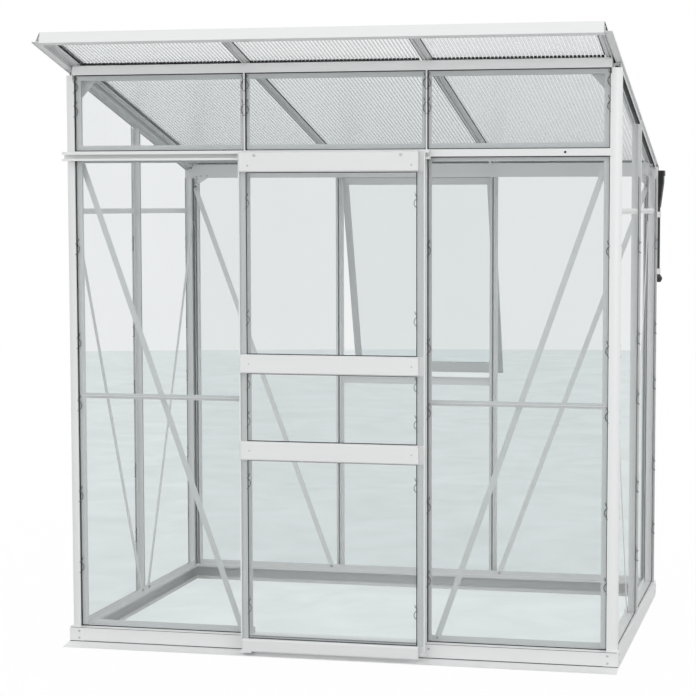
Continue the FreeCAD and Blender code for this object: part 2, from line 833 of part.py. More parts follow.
def mid_rail(label, wall, start, end, middle):
    """A flat strip behind the glass with a web between the upper and the lower pane."""
    body = new_body(label)
    low = "(%s - rail_face / 2)" % middle
    high = "(%s + rail_face / 2)" % middle
    web_low = "%s - web_thickness / 2" % middle
    web_high = "%s + web_thickness / 2" % middle
    outline = [
        ("flange_back", low), ("flange_back", high), ("flange_face", high), ("flange_face", web_high),
        ("glass_face - rail_web_proud", web_high), ("glass_face - rail_web_proud", web_low),
        ("flange_face", web_low), ("flange_face", low),
    ]
    grow(body, "YZ_Plane", [outline], start, "(%s) - (%s)" % (end, start))
    return on_wall(body, wall)


group("front_mid_rails", [
    mid_rail("front_left_mid_rail", "front", "-front_rail_out", "-front_rail_in", "front_rail_height"),
    mid_rail("front_right_mid_rail", "front", "front_rail_in", "front_rail_out", "front_rail_height"),
])
group("side_wall_mid_rails", [
    mid_rail("%s_mid_rail_%s" % (wall, part), wall, start, end, "side_rail_height")
    for wall in ("left", "right")
    for part, start, end in (("a", "-side_rail_out", "-side_rail_in"), ("b", "side_rail_in", "side_rail_out"))
])

sill_bar_body = new_body("window_sill_bar")
sill_bar_outline = [
    ("flange_face", "sill_bar_bottom"), ("flange_back", "sill_bar_bottom"),
    ("flange_back", "sill_bar_top - flange_thickness"),
    ("bar_back - sill_bar_setback", "sill_bar_top - flange_thickness"),
    ("bar_back - sill_bar_setback", "sill_bar_top"), ("flange_face", "sill_bar_top"),
]
grow(sill_bar_body, "YZ_Plane", [sill_bar_outline], "-sill_end", "2 * sill_end")
keep(on_wall(sill_bar_body, "back"))

transom = new_body("front_transom")
transom_outline = [
    ("transom_face_front", "transom_bottom"), ("wall_setback", "transom_bottom"),
    ("wall_setback", "transom_web_low"), ("flange_face", "transom_web_low"),
    ("flange_face", "transom_strip_bottom"), ("flange_back", "transom_strip_bottom"),
    ("flange_back", "transom_web_low"), ("bar_back", "transom_web_low"), ("bar_back", "transom_web_high"),
    ("flange_back", "transom_web_high"), ("flange_back", "transom_strip_high"),
    ("flange_face", "transom_strip_high"), ("flange_face", "transom_web_high"),
    ("wall_setback", "transom_web_high"), ("wall_setback", "transom_top"),
    ("transom_face_front", "transom_top"),
]
grow(transom, "YZ_Plane", [transom_outline], "-front_rail_out", "2 * front_rail_out")
transom_cap = box_loop("transom_face_front", "transom_bottom", "wall_setback", "transom_top")
grow(transom, "YZ_Plane", [transom_cap], "-front_half + post_edge", "width - 2 * post_edge")
keep(on_wall(transom, "front"))


def roof_plane(depth_inwards):
    """The height of the rafters' underside at a depth behind the front face of the base."""
    return "(roof_height - roof_fall * (%s))" % depth_inwards


front_beam = new_body("front_eave_beam")
front_lip = "wall_setback + front_beam_lip"
front_sheet = "wall_setback + front_beam_sheet"
front_bore_near = front_lip + " + beam_wall"
front_bore_top = roof_plane("bar_back") + " - beam_top_wall"
front_beam_outline = [
    ("wall_setback", "front_beam_bottom"), ("wall_setback", "front_beam_top"), (front_lip, "front_beam_top"),
    (front_lip, roof_plane(front_lip)), ("bar_back", roof_plane("bar_back")),
    ("bar_back", "front_beam_leg_bottom"),
    ("beam_leg_gap", "front_beam_leg_bottom"), ("beam_leg_gap", "front_beam_bottom"),
    ("flange_back", "front_beam_bottom"), ("flange_back", "front_beam_leg_bottom"),
    ("flange_face", "front_beam_leg_bottom"), ("flange_face", "front_beam_bottom + front_rebate"),
    (front_sheet, "front_beam_bottom + front_rebate"), (front_sheet, "front_beam_bottom"),
]
front_beam_bore = box_loop(front_bore_near, "front_beam_bore", "beam_leg_gap", front_bore_top)
grow(front_beam, "YZ_Plane", [front_beam_outline, front_beam_bore], "-beam_half", "2 * beam_half")
keep(on_wall(front_beam, "front"))

back_beam = new_body("back_eave_beam")


def back_plane(depth_inwards):
    return roof_plane("depth - (%s)" % depth_inwards)


back_beam_outline = [
    ("wall_setback", "back_beam_bottom"), ("wall_setback", back_plane("wall_setback")),
    ("bar_back", back_plane("bar_back")), ("bar_back", "back_beam_leg_bottom"),
    ("beam_leg_gap", "back_beam_leg_bottom"), ("beam_leg_gap", "back_beam_bottom"),
    ("flange_back", "back_beam_bottom"), ("flange_back", "back_beam_bottom - back_beam_lip"),
    ("flange_face", "back_beam_bottom - back_beam_lip"), ("flange_face", "back_beam_bottom + back_rebate"),
    ("glass_face - glass_clearance", "back_beam_bottom + back_rebate"),
    ("glass_face - glass_clearance", "back_beam_bottom"),
]
back_bore_near = "wall_setback + back_beam_wall"
back_beam_bore = [
    (back_bore_near, "back_beam_bore"), ("beam_leg_gap", "back_beam_bore"),
    ("beam_leg_gap", back_plane("beam_leg_gap") + " - beam_top_wall"),
    (back_bore_near, back_plane("wall_setback") + " - beam_top_wall"),
]
grow(back_beam, "YZ_Plane", [back_beam_outline, back_beam_bore], "-beam_half", "2 * beam_half")
keep(on_wall(back_beam, "back"))


# Roof


def plumb(depth_inwards, n):
    """How far down the slope a plumb plane at a depth behind the base's front face is met at height n."""
    return "((%s) - (%s) * sin(roof_angle * 1deg)) / roof_cosine" % (depth_inwards, n)


def gable_bar(label, side):
    """The sloping top of a side wall: a slim channel over the glass and an arm up to the edge rafter."""
    body = new_body(label)
    top = "-gable_top_gap"
    web = "-gable_top_gap - gable_lip"
    bottom = "-gable_bottom"
    arm = "(rafter_edge_inset - (channel_width + channel_mouth) / 4)"
    section = [
        ("glass_face - gable_lip - glass_clearance", bottom),
        ("glass_face - gable_lip - glass_clearance", top),
        (arm + " - gable_lip / 2", top), (arm + " - gable_lip / 2", "0"), (arm + " + gable_lip / 2", "0"),
        (arm + " + gable_lip / 2", web), ("flange_back", web), ("flange_back", bottom),
        ("flange_face", bottom),
        ("flange_face", web), ("glass_face - glass_clearance", web), ("glass_face - glass_clearance", bottom),
    ]
    outline = [("%s(front_half - (%s))" % (side, x), y) for x, y in section]
    grow(body, "XZ_Plane", [outline], "0", "roof_back")
    low = bottom + " - over"
    for inner, outer in (("bar_back", "-over"), ("depth - bar_back", "roof_back + over")):
        waste = [(outer, low), (plumb(inner, low), low), (plumb(inner, "over"), "over"), (outer, "over")]
        cut(body, "YZ_Plane", [waste], "-front_half", "width")
    return in_roof(body)


group("gable_bars", [gable_bar("gable_bar_" + side, sign) for side, sign in signs])


def rafter(label, centre):
    """A roof bar: bolt channel below, flange under the sheets and a fin between them."""
    body = new_body(label)
    half = "channel_width / 2"
    mouth = "channel_mouth / 2"
    right = [
        ("web_thickness / 2", "rafter_top"), ("web_thickness / 2", "rafter_flange_top"),
        ("flange_width / 2", "rafter_flange_top"), ("flange_width / 2", "rafter_channel"),
        (half, "rafter_channel"),
        (half, "0"), (mouth, "0"), (mouth, "channel_wall"), (half + " - channel_wall", "channel_wall"),
        (half + " - channel_wall", "rafter_channel - channel_wall / 2"),
    ]
    outline = [("(%s) + %s" % (centre, x), y) for x, y in right]
    outline += [("(%s) - (%s)" % (centre, x), y) for x, y in reversed(right)]
    grow(body, "XZ_Plane", [outline], "roof_front", "roof_back - roof_front")
    return in_roof(body)


group("edge_rafters", [rafter("edge_rafter_" + side, sign + "rafter_edge") for side, sign in signs])
group("middle_rafters", [rafter("middle_rafter_" + side, sign + "bar_place") for side, sign in signs])


def roof_sheet(label, start, end):
    """A twin-wall sheet: two skins joined by webs, with one row of open cells down the slope."""
    body = new_body(label)
    length = "roof_back + eave_overhang - roof_front - fascia_sheet - sheet_gap"
    slab = box_loop(start, "sheet_bottom", end, "sheet_top")
    grow(body, "XZ_Plane", [slab], "roof_front + fascia_sheet + sheet_gap", length)
    cell = box_loop("(%s) + sheet_skin" % start, "sheet_bottom + sheet_skin",
                    "(%s) + sheet_cell" % start, "sheet_top - sheet_skin")
    pocket = cut(body, "XZ_Plane", [cell], "roof_front", length + " + 2 * (fascia_sheet + sheet_gap)")
    pattern = body.newObject("PartDesign::LinearPattern", label + "_cells")
    pattern.Originals = [pocket]
    pattern.Direction = (pocket.Profile[0], ["H_Axis"])
    cells = "floor(((%s) - (%s) - sheet_skin) / sheet_cell)" % (end, start)
    pattern.setExpression("Occurrences", bound(cells))
    pattern.setExpression("Length", bound("sheet_cell * (%s - 1)" % cells))
    body.Tip = pattern
    pockets.append(pattern)
    return in_roof(body)


group("roof_sheets", [
    roof_sheet("roof_sheet_left", "-sheet_side", "-bar_place - bar_gap"),
    roof_sheet("roof_sheet_middle", "-bar_place + bar_gap", "bar_place - bar_gap"),
    roof_sheet("roof_sheet_right", "bar_place + bar_gap", "sheet_side"),
])


def bar_cap(label, centre):
    """A crowned strip that presses the sheets down on each side of a rafter's fin."""
    body = new_body(label)
    left = "(%s) - cap_width / 2" % centre
    right = "(%s) + cap_width / 2" % centre
    slot_left = "(%s) - web_thickness / 2 - cap_clearance" % centre
    slot_right = "(%s) + web_thickness / 2 + cap_clearance" % centre
    slot_top = "rafter_top + cap_clearance"
    crown = "((cap_width / 2) ^ 2 / (2 * cap_rise) + cap_rise / 2)"
    outline = [
        (left, "cap_floor"), (left, "cap_floor + cap_thickness"),
        (centre, "cap_floor + cap_thickness + cap_rise", crown),
        (right, "cap_floor + cap_thickness"), (right, "cap_floor"), (slot_right, "cap_floor"),
        (slot_right, slot_top),
        (slot_left, slot_top), (slot_left, "cap_floor"),
    ]
    grow(body, "XZ_Plane", [outline], "roof_front + fascia_leg + cap_gap",
         "roof_back + eave_overhang - roof_front - fascia_leg - cap_gap")
    return in_roof(body)


group("roof_bar_caps", [bar_cap("bar_cap_left", "-bar_place"), bar_cap("bar_cap_right", "bar_place")])

fascia = new_body("roof_front_fascia")
fascia_outline = [
    ("roof_front - fascia_sheet", "-fascia_drop"), ("roof_front - fascia_sheet", "fascia_top"),
    ("roof_front + fascia_nose", "fascia_top"), ("roof_front + fascia_nose", "fascia_top - fascia_sheet"),
    ("roof_front", "fascia_top - fascia_sheet"), ("roof_front", "cap_floor + fascia_sheet"),
    ("roof_front + fascia_leg", "cap_floor + fascia_sheet"), ("roof_front + fascia_leg", "cap_floor"),
    ("roof_front", "cap_floor"), ("roof_front", "fascia_sheet - fascia_drop"),
    ("roof_front + fascia_foot", "fascia_sheet - fascia_drop"), ("roof_front + fascia_foot", "-fascia_drop"),
]
fascia_half = "(front_half - fascia_inset)"
grow(fascia, "YZ_Plane", [fascia_outline], "-" + fascia_half, "2 * " + fascia_half)
for sign in ("-", ""):
    for fin in (sign + "bar_place", sign + "rafter_edge"):
        slot = box_loop(fin + " - web_thickness", "sheet_top", fin + " + web_thickness", "fascia_top + over")
        cut(fascia, "XZ_Plane", [slot], "roof_front", "fascia_leg + over")
keep(in_roof(fascia))


def verge(label, side):
    """The edge trim of the roof: a foot under the edge rafter, a leaning wall and a cover over the sheet."""
    body = new_body(label)
    skin = "fascia_sheet"
    foot = "-verge_drop"
    floor = "(fascia_sheet - verge_drop)"
    lean_foot = "(verge_inset + verge_flange)"
    lean_top = "(verge_inset + verge_flange + verge_lean)"
    upturn = "(rafter_edge_inset - flange_width / 2)"
    section = [
        ("verge_inset", foot + " - verge_lip"), ("verge_inset", floor), (lean_foot, floor),
        (lean_top, "fascia_top"),
        (lean_top + " + verge_cover", "fascia_top"), (lean_top + " + verge_cover", "fascia_top - " + skin),
        (lean_top + " + " + skin, "fascia_top - " + skin), (lean_foot + " + " + skin, floor), (upturn, floor),
        (upturn, "rafter_channel"), ("%s + %s" % (upturn, skin), "rafter_channel"),
        ("%s + %s" % (upturn, skin), foot),
        ("verge_inset + " + skin, foot), ("verge_inset + " + skin, foot + " - verge_lip"),
    ]
    outline = [("%s(front_half - (%s))" % (side, x), y) for x, y in section]
    grow(body, "XZ_Plane", [outline], "roof_front - fascia_sheet",
         "roof_back - roof_front + fascia_sheet - verge_back_gap")
    beside = "%s(front_half - fascia_inset + sheet_clearance)" % side
    waste = box_loop("%s(front_half / 2)" % side, "sheet_top", beside, "fascia_top + over")
    cut(body, "XZ_Plane", [waste], "roof_front - fascia_sheet - over",
        "fascia_sheet + fascia_nose + 2 * over")
    return in_roof(body)


group("roof_verges", [verge("verge_" + side, sign) for side, sign in signs])


# Gutter and downpipe

gutter = new_body("gutter")
gutter_far = "wall_setback - gutter_width"
gutter_floor = "gutter_bottom + gutter_sheet"
gutter_near_top = "gutter_top - gutter_near_drop"
gutter_outline = [
    ("wall_setback", "gutter_bottom"), ("wall_setback", gutter_near_top),
    ("wall_setback - gutter_sheet", gutter_near_top), ("wall_setback - gutter_sheet", gutter_floor),
    (gutter_far + " + gutter_sheet", gutter_floor), (gutter_far + " + gutter_sheet", "gutter_top"),
    (gutter_far, "gutter_top"), (gutter_far, "gutter_bottom"),
]
grow(gutter, "YZ_Plane", [gutter_outline], "-gutter_half", "2 * gutter_half")
outlet = ("circle", "-outlet_place", "-pipe_offset", "outlet_radius")
cut(gutter, "XY_Plane", [outlet], "gutter_bottom - over", "gutter_sheet + 2 * over")
keep(on_wall(gutter, "back"))


def gutter_end(label, start):
    body = new_body(label)
    plate = box_loop(gutter_far, "gutter_bottom", "wall_setback", "gutter_top")
    grow(body, "YZ_Plane", [plate], start, "gutter_sheet")
    return on_wall(body, "back")


group("gutter_end_caps", [
    gutter_end("gutter_end_left", "gutter_half"),
    gutter_end("gutter_end_right", "-gutter_half - gutter_sheet"),
])

hopper = new_body("gutter_outlet")
hopper_foot = "hopper_bottom - hopper_body"


def hopper_box(out):
    """The hopper's rectangle, grown by a length and shifted off the pipe's centre."""
    across = "(hopper_half + %s)" % out
    deep = "(gutter_width / 2 + %s)" % out
    return box_loop("hopper_shift - " + across, "-" + deep, "hopper_shift + " + across, deep)


def hopper_throat(wall):
    """The taper from the hopper's body to the pipe, seen from the front and drawn in by a wall."""
    across = "(hopper_half - %s)" % wall
    return [
        ("hopper_shift - " + across, hopper_foot), ("hopper_shift + " + across, hopper_foot),
        ("pipe_radius - " + wall, "pipe_top"), ("%s - pipe_radius" % wall, "pipe_top"),
    ]


grow(hopper, "XY_Plane", [hopper_box("hopper_lip")], "hopper_bottom", "hopper_lip_height")
grow(hopper, "XY_Plane", [hopper_box("0")], hopper_foot, "hopper_body")
grow(hopper, "XZ_Plane", [hopper_throat("0")], "-gutter_width / 2", "gutter_width")
cut(hopper, "XY_Plane", [hopper_box("-hopper_wall")], hopper_foot, "hopper_body + hopper_lip_height + over")
cut(hopper, "XZ_Plane", [hopper_throat("hopper_wall")], "hopper_wall - gutter_width / 2",
    "gutter_width - 2 * hopper_wall")
set_place(hopper, "pipe_place", "pipe_centre", "0")
keep(hopper)

pipe = new_body("downpipe")
pipe_outline = box_loop("pipe_radius - pipe_wall", "pipe_bottom", "pipe_radius", "pipe_top")
turn(pipe, [pipe_outline])
set_place(pipe, "pipe_place", "pipe_centre", "0")
keep(pipe)

spout = new_body("downpipe_spout")
spout_low = "pipe_bottom - spout_height / 2"
spout_high = "pipe_bottom + spout_height / 2"
spout_outline = [
    ("pipe_radius - pipe_wall", "pipe_bottom"), ("pipe_radius + spout_fit", "pipe_bottom"),
    ("pipe_radius + spout_fit", spout_high), ("pipe_radius + spout_wall", spout_high),
    ("spout_radius", "pipe_bottom + spout_band_top"), ("spout_radius", "pipe_bottom - spout_band_bottom"),
    ("spout_radius - spout_mouth_inset", spout_low), ("pipe_radius - pipe_wall", spout_low),
]
turn(spout, [spout_outline])
set_place(spout, "pipe_place", "pipe_centre", "0")
keep(spout)


def pipe_clip(label, height):
    """A ring round the pipe with an arm to the corner post."""
    body = new_body(label)
    outer = "(pipe_radius + clip_wall)"
    reach = "-(pipe_offset + wall_setback)"
    side = "sqrt(%s ^ 2 - (clip_arm / 2) ^ 2)" % outer
    outline = [
        ("clip_arm / 2", reach), ("clip_arm / 2", "-" + side), ("0", outer, outer),
        ("-clip_arm / 2", "-" + side), ("-clip_arm / 2", reach),
    ]
    hole = ("circle", "0", "0", "pipe_radius + clip_fit")
    grow(body, "XY_Plane", [outline, hole], "0", "clip_height")
    set_place(body, "pipe_place", "pipe_centre", height)
    return body


group("downpipe_clips", [
    pipe_clip("clip_low", "pipe_bottom + clip_low_rise"),
    pipe_clip("clip_high", "pipe_bottom + clip_high_rise"),
])


# Braces, their bolts and the corner gussets


def brace(label, wall, u0, z0, u1, z1):
    """A flat bar with round ends between two bolts, on the back of the bars."""
    body = new_body(label)
    run = "sqrt(((%s) - (%s)) ^ 2 + ((%s) - (%s)) ^ 2)" % (u1, u0, z1, z0)
    half = "brace_width / 2"
    curve = "((brace_width / 2) ^ 2 + brace_crown ^ 2) / (2 * brace_crown)"
    outline = [
        ("0", "-" + half), (run, "-" + half), (run + " + brace_crown", "0", curve), (run, half), ("0", half),
        ("-brace_crown", "0", curve),
    ]
    holes = [polygon(end, "0", "(bolt_radius + bolt_clearance)", bolt_sides) for end in ("0", run)]
    tilt = "atan2((%s) - (%s); (%s) - (%s))" % (z1, z0, u1, u0)
    grow(body, "XZ_Plane", [outline] + holes, "bar_back", "brace_thickness", (u0, z0, tilt))
    return on_wall(body, wall)


def bolt(label, wall, u, z, head_front, nut_front):
    """A bolt through the brace: a hexagon head outside, a nut inside and a plain many-sided shank."""
    body = new_body(label)
    grow(body, "XZ_Plane", [polygon(u, z, "bolt_head_width / sqrt(3)", 6)], head_front, "bolt_head")
    grow(body, "XZ_Plane", [polygon(u, z, "bolt_radius", bolt_sides)], "(%s) + bolt_head" % head_front,
         "(%s) - (%s) - bolt_head + nut_height + bolt_end" % (nut_front, head_front))
    grow(body, "XZ_Plane", [polygon(u, z, "nut_width / sqrt(3)", 6)], nut_front, "nut_height")
    return on_wall(body, wall)


brace_ends = {
    "front": [("-front_brace_head", "front_brace_top", "-front_brace_foot"),
              ("front_brace_head", "front_brace_top", "front_brace_foot")],
    "back": [("-front_brace_head", "back_brace_top", "-front_brace_foot"),
             ("front_brace_head", "back_brace_top", "front_brace_foot")],
    "left": [("side_brace_head", "side_brace_front_top", "side_brace_foot"),
             ("-side_brace_head", "side_brace_back_top", "-side_brace_foot")],
    "right": [("-side_brace_head", "side_brace_front_top", "-side_brace_foot"),
              ("side_brace_head", "side_brace_back_top", "side_brace_foot")],
}
brace_bolts = []
braces = {}
for wall, ends in brace_ends.items():
    members = []
    for place, (head, top, foot) in enumerate(ends, start=1):
        name = "%s_brace_%d" % (wall, place)
        members.append(brace(name, wall, head, top, foot, "brace_foot_height"))
        brace_bolts.append(bolt(name + "_head_bolt", wall, head, top, "channel_head", "brace_back"))
        brace_bolts.append(bolt(name + "_foot_bolt", wall, foot, "brace_foot_height", "sill_head",
                                "sill_back"))
    braces[wall] = members
group("front_braces", braces["front"])
group("back_braces", braces["back"])
group("side_wall_braces", braces["left"] + braces["right"])
group("brace_bolts", brace_bolts)


def gusset(label, wall, side, top, drop):
    """A three-cornered plate across a post and the beam above it."""
    body = new_body(label)
    edge = "%s(front_half - post_reach + gusset_edge)" % side
    tip = "%s(front_half - post_reach + gusset_edge - gusset_reach)" % side
    outline = [(edge, top), (tip, top), (tip, "%s - gusset_tip" % top), (edge, "%s - %s" % (top, drop))]
    grow(body, "XZ_Plane", [outline], "bar_back", "gusset_thickness")
    return on_wall(body, wall)


group("gusset_plates", [
    gusset("gusset_front_left", "front", "-", "front_beam_bottom", "gusset_drop"),
    gusset("gusset_front_right", "front", "", "front_beam_bottom", "gusset_drop"),
    gusset("gusset_back_left", "back", "", "back_beam_bottom - back_gusset_gap", "back_gusset_drop"),
    gusset("gusset_back_right", "back", "-", "back_beam_bottom - back_gusset_gap", "back_gusset_drop"),
])


# Glass


def pane(label, wall, outline):
    body = new_body(label)
    grow(body, "XZ_Plane", [outline], "glass_face", "glass_thickness")
    return on_wall(body, wall)


front_panes = []
for side, sign in signs:
    across = (sign + "pane_in", sign + "front_pane_out")
    front_panes += [
        pane("front_%s_lower_pane" % side, "front",
             box_loop(across[0], "glass_bottom", across[1], "front_rail_height - rail_web")),
        pane("front_%s_upper_pane" % side, "front",
             box_loop(across[0], "front_rail_height + rail_web", across[1], "transom_slot_low")),
    ]
group("front_wall_glass", front_panes)
group("clerestory_glass", [
    pane("clerestory_%s_pane" % name, "front", box_loop(start, "transom_slot_high", end, "front_slot"))
    for name, start, end in (
        ("left", "-front_pane_out", "-pane_in"),
        ("middle", "-pane_middle", "pane_middle"),
        ("right", "pane_in", "front_pane_out"),
    )
])
group("back_wall_glass", [
    pane("back_left_pane", "back", box_loop("pane_in", "glass_bottom", "front_pane_out", "back_slot")),
    pane("back_right_pane", "back", box_loop("-front_pane_out", "glass_bottom", "-pane_in", "back_slot")),
    pane("back_middle_pane", "back",
         box_loop("-pane_middle", "glass_bottom", "pane_middle", "sill_bar_bottom + sill_pane_lap")),
])


def gable_slot(u):
    """The top of the glass in the gable bar's rebate, u being measured towards the back."""
    return "(roof_height - roof_fall * (side_half + (%s)) - gable_slot_drop)" % u


side_panes = []
for wall, sign in signs:
    spans = (("-side_pane_out", "-bar_gap"), ("bar_gap", "side_pane_out"))
    for place, (start, end) in enumerate(spans, start=1):
        near = "%s(%s)" % (sign, start)
        far = "%s(%s)" % (sign, end)
        side_panes.append(pane("%s_lower_pane_%d" % (wall, place), wall,
                               box_loop(near, "glass_bottom", far, "side_rail_height - rail_web")))
        low = "side_rail_height + rail_web"
        side_panes.append(pane("%s_upper_pane_%d" % (wall, place), wall,
                               [(near, low), (far, low), (far, gable_slot(end)), (near, gable_slot(start))]))
group("side_wall_glass", side_panes)


# Door track and guide

track = new_body("door_track")
lip_back = "(track_front + track_sheet)"
rib_low = "(roller_middle - track_rib_width / 2)"
rib_high = "(roller_middle + track_rib_width / 2)"
track_outline = [
    ("track_back", "track_bottom"), ("track_back", "track_top"), ("track_front", "track_top"),
    ("track_front", "track_top - track_sheet - track_top_lip"),
    (lip_back, "track_top - track_sheet - track_top_lip"),
    (lip_back, "track_top - track_sheet"), ("track_back - track_sheet", "track_top - track_sheet"),
    ("track_back - track_sheet", "track_floor"), (rib_high, "track_floor"),
    (rib_high, "track_floor + track_rib"),
    (rib_low, "track_floor + track_rib"), (rib_low, "track_floor"), (lip_back, "track_floor"),
    (lip_back, "track_floor + track_lip"), ("track_front", "track_floor + track_lip"),
    ("track_front", "track_bottom"),
]
grow(track, "YZ_Plane", [track_outline], "track_left", "track_right - track_left")
keep(on_wall(track, "front"))

guide = new_body("door_bottom_guide")
guide_shelf = "(bottom_panel_bottom - guide_gap - guide_sheet)"
guide_leg = "(door_back + guide_gap)"
guide_lip = "(door_rail_front - guide_gap)"
guide_outline = [
    ("0", guide_shelf), ("0", "bottom_panel_bottom + guide_face_rise"),
    ("-guide_sheet", "bottom_panel_bottom + guide_face_rise"),
    ("-guide_sheet", guide_shelf + " + guide_sheet"),
    (guide_leg + " + guide_sheet", guide_shelf + " + guide_sheet"),
    (guide_leg + " + guide_sheet", "stile_bottom + guide_leg_rise"),
    (guide_leg, "stile_bottom + guide_leg_rise"),
    (guide_leg, guide_shelf + " + guide_sheet"), (guide_lip, guide_shelf + " + guide_sheet"),
    (guide_lip, "bottom_panel_bottom + guide_lip_rise"),
    (guide_lip + " - guide_sheet", "bottom_panel_bottom + guide_lip_rise"),
    (guide_lip + " - guide_sheet", guide_shelf),
]
grow(guide, "YZ_Plane", [guide_outline], "door_left + guide_inset", "guide_width")
keep(on_wall(guide, "front"))


# Door


def stile(label, side):
    """An upright with a fin outside the glass, a flange behind it and a closed chamber."""
    body = new_body(label)
    fin_back = "(door_front + fin_cap)"
    flange_rear = "(door_flange + web_thickness)"
    section = [
        ("0", "door_front"), ("fin_width", "door_front"), ("fin_width", fin_back),
        ("fin_width - channel_wall", fin_back), ("fin_width - channel_wall", "door_flange"),
        ("stile_width", "door_flange"), ("stile_width", flange_rear), ("stile_chamber", flange_rear),
        ("stile_chamber", "door_back"), ("channel_wall", "door_back"), ("channel_wall", fin_back),
        ("0", fin_back),
    ]
    bore = box_loop("2 * channel_wall", flange_rear, "stile_chamber - channel_wall",
                    "door_back - channel_wall")
    if side == "left":
        loops = [[("door_left + %s" % x, y) for x, y in loop] for loop in (section, bore)]
    else:
        loops = [[("door_left + door_width - (%s)" % x, y) for x, y in loop] for loop in (section, bore)]
    grow(body, "XY_Plane", loops, "stile_bottom", "stile_top - stile_bottom")
    return on_wall(body, "front")


group("door_stiles", [stile("door_stile_" + side, side) for side in ("left", "right")])


def door_rail(label, low, height, axle_holes):
    """A bevelled channel across the front of the stiles, open at the back."""
    body = new_body(label)
    top = "(%s + %s)" % (low, height)
    face = "door_rail_front"
    skin = "door_rail_sheet"
    bevel = "door_rail_bevel"
    fold = "(door_rail_bevel + door_rail_sheet * tan(22.5deg))"
    outline = [
        ("door_flange", low), ("%s + %s" % (face, bevel), low), (face, "%s + %s" % (low, bevel)),
        (face, "%s - %s" % (top, bevel)), ("%s + %s" % (face, bevel), top), ("door_flange", top),
        ("door_flange", "%s - %s" % (top, skin)), ("%s + %s" % (face, fold), "%s - %s" % (top, skin)),
        ("%s + %s" % (face, skin), "%s - %s" % (top, fold)),
        ("%s + %s" % (face, skin), "%s + %s" % (low, fold)),
        ("%s + %s" % (face, fold), "%s + %s" % (low, skin)), ("door_flange", "%s + %s" % (low, skin)),
    ]
    grow(body, "YZ_Plane", [outline], "door_rail_left", "door_rail_right - door_rail_left")
    for place in axle_holes:
        hole = ("circle", place, "roller_centre", "axle_radius + axle_fit")
        cut(body, "XZ_Plane", [hole], "door_rail_front - over", "door_rail_sheet + 2 * over")
    return on_wall(body, "front")


keep(door_rail("door_top_panel", "top_panel_bottom", "top_panel_height", ["roller_left", "roller_right"]))
group("door_middle_rails", [
    door_rail("door_upper_rail", "upper_rail_bottom", "middle_rail_height", []),
    door_rail("door_lower_rail", "lower_rail_bottom", "middle_rail_height", []),
])
keep(door_rail("door_bottom_panel", "bottom_panel_bottom", "bottom_panel_height", []))


def door_pane(label, low, high):
    body = new_body(label)
    outline = box_loop("door_left + fin_width", low, "door_left + door_width - fin_width", high)
    grow(body, "XZ_Plane", [outline], "door_front + fin_cap", "glass_thickness")
    return on_wall(body, "front")


group("door_glass", [
    door_pane("door_lower_pane", "bottom_panel_bottom + bottom_panel_height + glass_clearance",
              "lower_rail_bottom - glass_clearance"),
    door_pane("door_middle_pane", "lower_rail_bottom + middle_rail_height + glass_clearance",
              "upper_rail_bottom - glass_clearance"),
    door_pane("door_upper_pane", "upper_rail_bottom + middle_rail_height + glass_clearance",
              "top_panel_bottom - glass_clearance"),
])


def roller_axle(label, centre):
    """A shouldered pin from the panel's face into the roller."""
    body = new_body(label)
    front = "door_rail_front"
    end = "(roller_middle + roller_width / 2 + axle_tip)"
    outline = [
        ("0", front + " - axle_head"), ("axle_head_radius", front + " - axle_head"),
        ("axle_head_radius", front),
        ("axle_radius", front), ("axle_radius", end), ("0", end),
    ]
    turn(body, [outline], "V_Axis", "XY_Plane")
    return on_wall(body, "front", centre, "roller_centre")


group("door_roller_axles",
      [roller_axle("axle_left", "roller_left"), roller_axle("axle_right", "roller_right")])


def roller(label, centre):
    """A grooved wheel that runs on the track's rib."""
    body = new_body(label)
    near = "roller_middle - roller_width / 2"
    far = "roller_middle + roller_width / 2"
    groove_near = "roller_middle - roller_groove / 2"
    groove_far = "roller_middle + roller_groove / 2"
    outline = [
        ("axle_radius + axle_fit", near), ("roller_flange", near), ("roller_flange", groove_near),
        ("roller_radius", groove_near), ("roller_radius", groove_far), ("roller_flange", groove_far),
        ("roller_flange", far), ("axle_radius + axle_fit", far),
    ]
    turn(body, [outline], "V_Axis", "XY_Plane")
    return keep(on_wall(body, "front", centre, "roller_centre"))


roller("door_roller_left", "roller_left")
roller("door_roller_right", "roller_right")


def glide(label, place):
    """A plastic block under a stile."""
    body = new_body(label)
    outline = box_loop("door_front + fin_cap", "stile_bottom - glide_height", "door_back", "stile_bottom")
    grow(body, "YZ_Plane", [outline], place, "glide_width")
    return on_wall(body, "front")


group("door_glides", [
    glide("glide_left", "door_left + glide_inset"),
    glide("glide_right", "door_left + door_width - glide_width - glide_inset"),
])


# Window: built hanging straight down from its hinge line, then swung open


def on_hinge(body):
    """Place a window piece: y outwards and z up from the hinge's axis, at the angle where it stands open."""
    set_place(body, "0", "hinge_depth", "hinge_height", (1, 0, 0), "window_open")
    return body


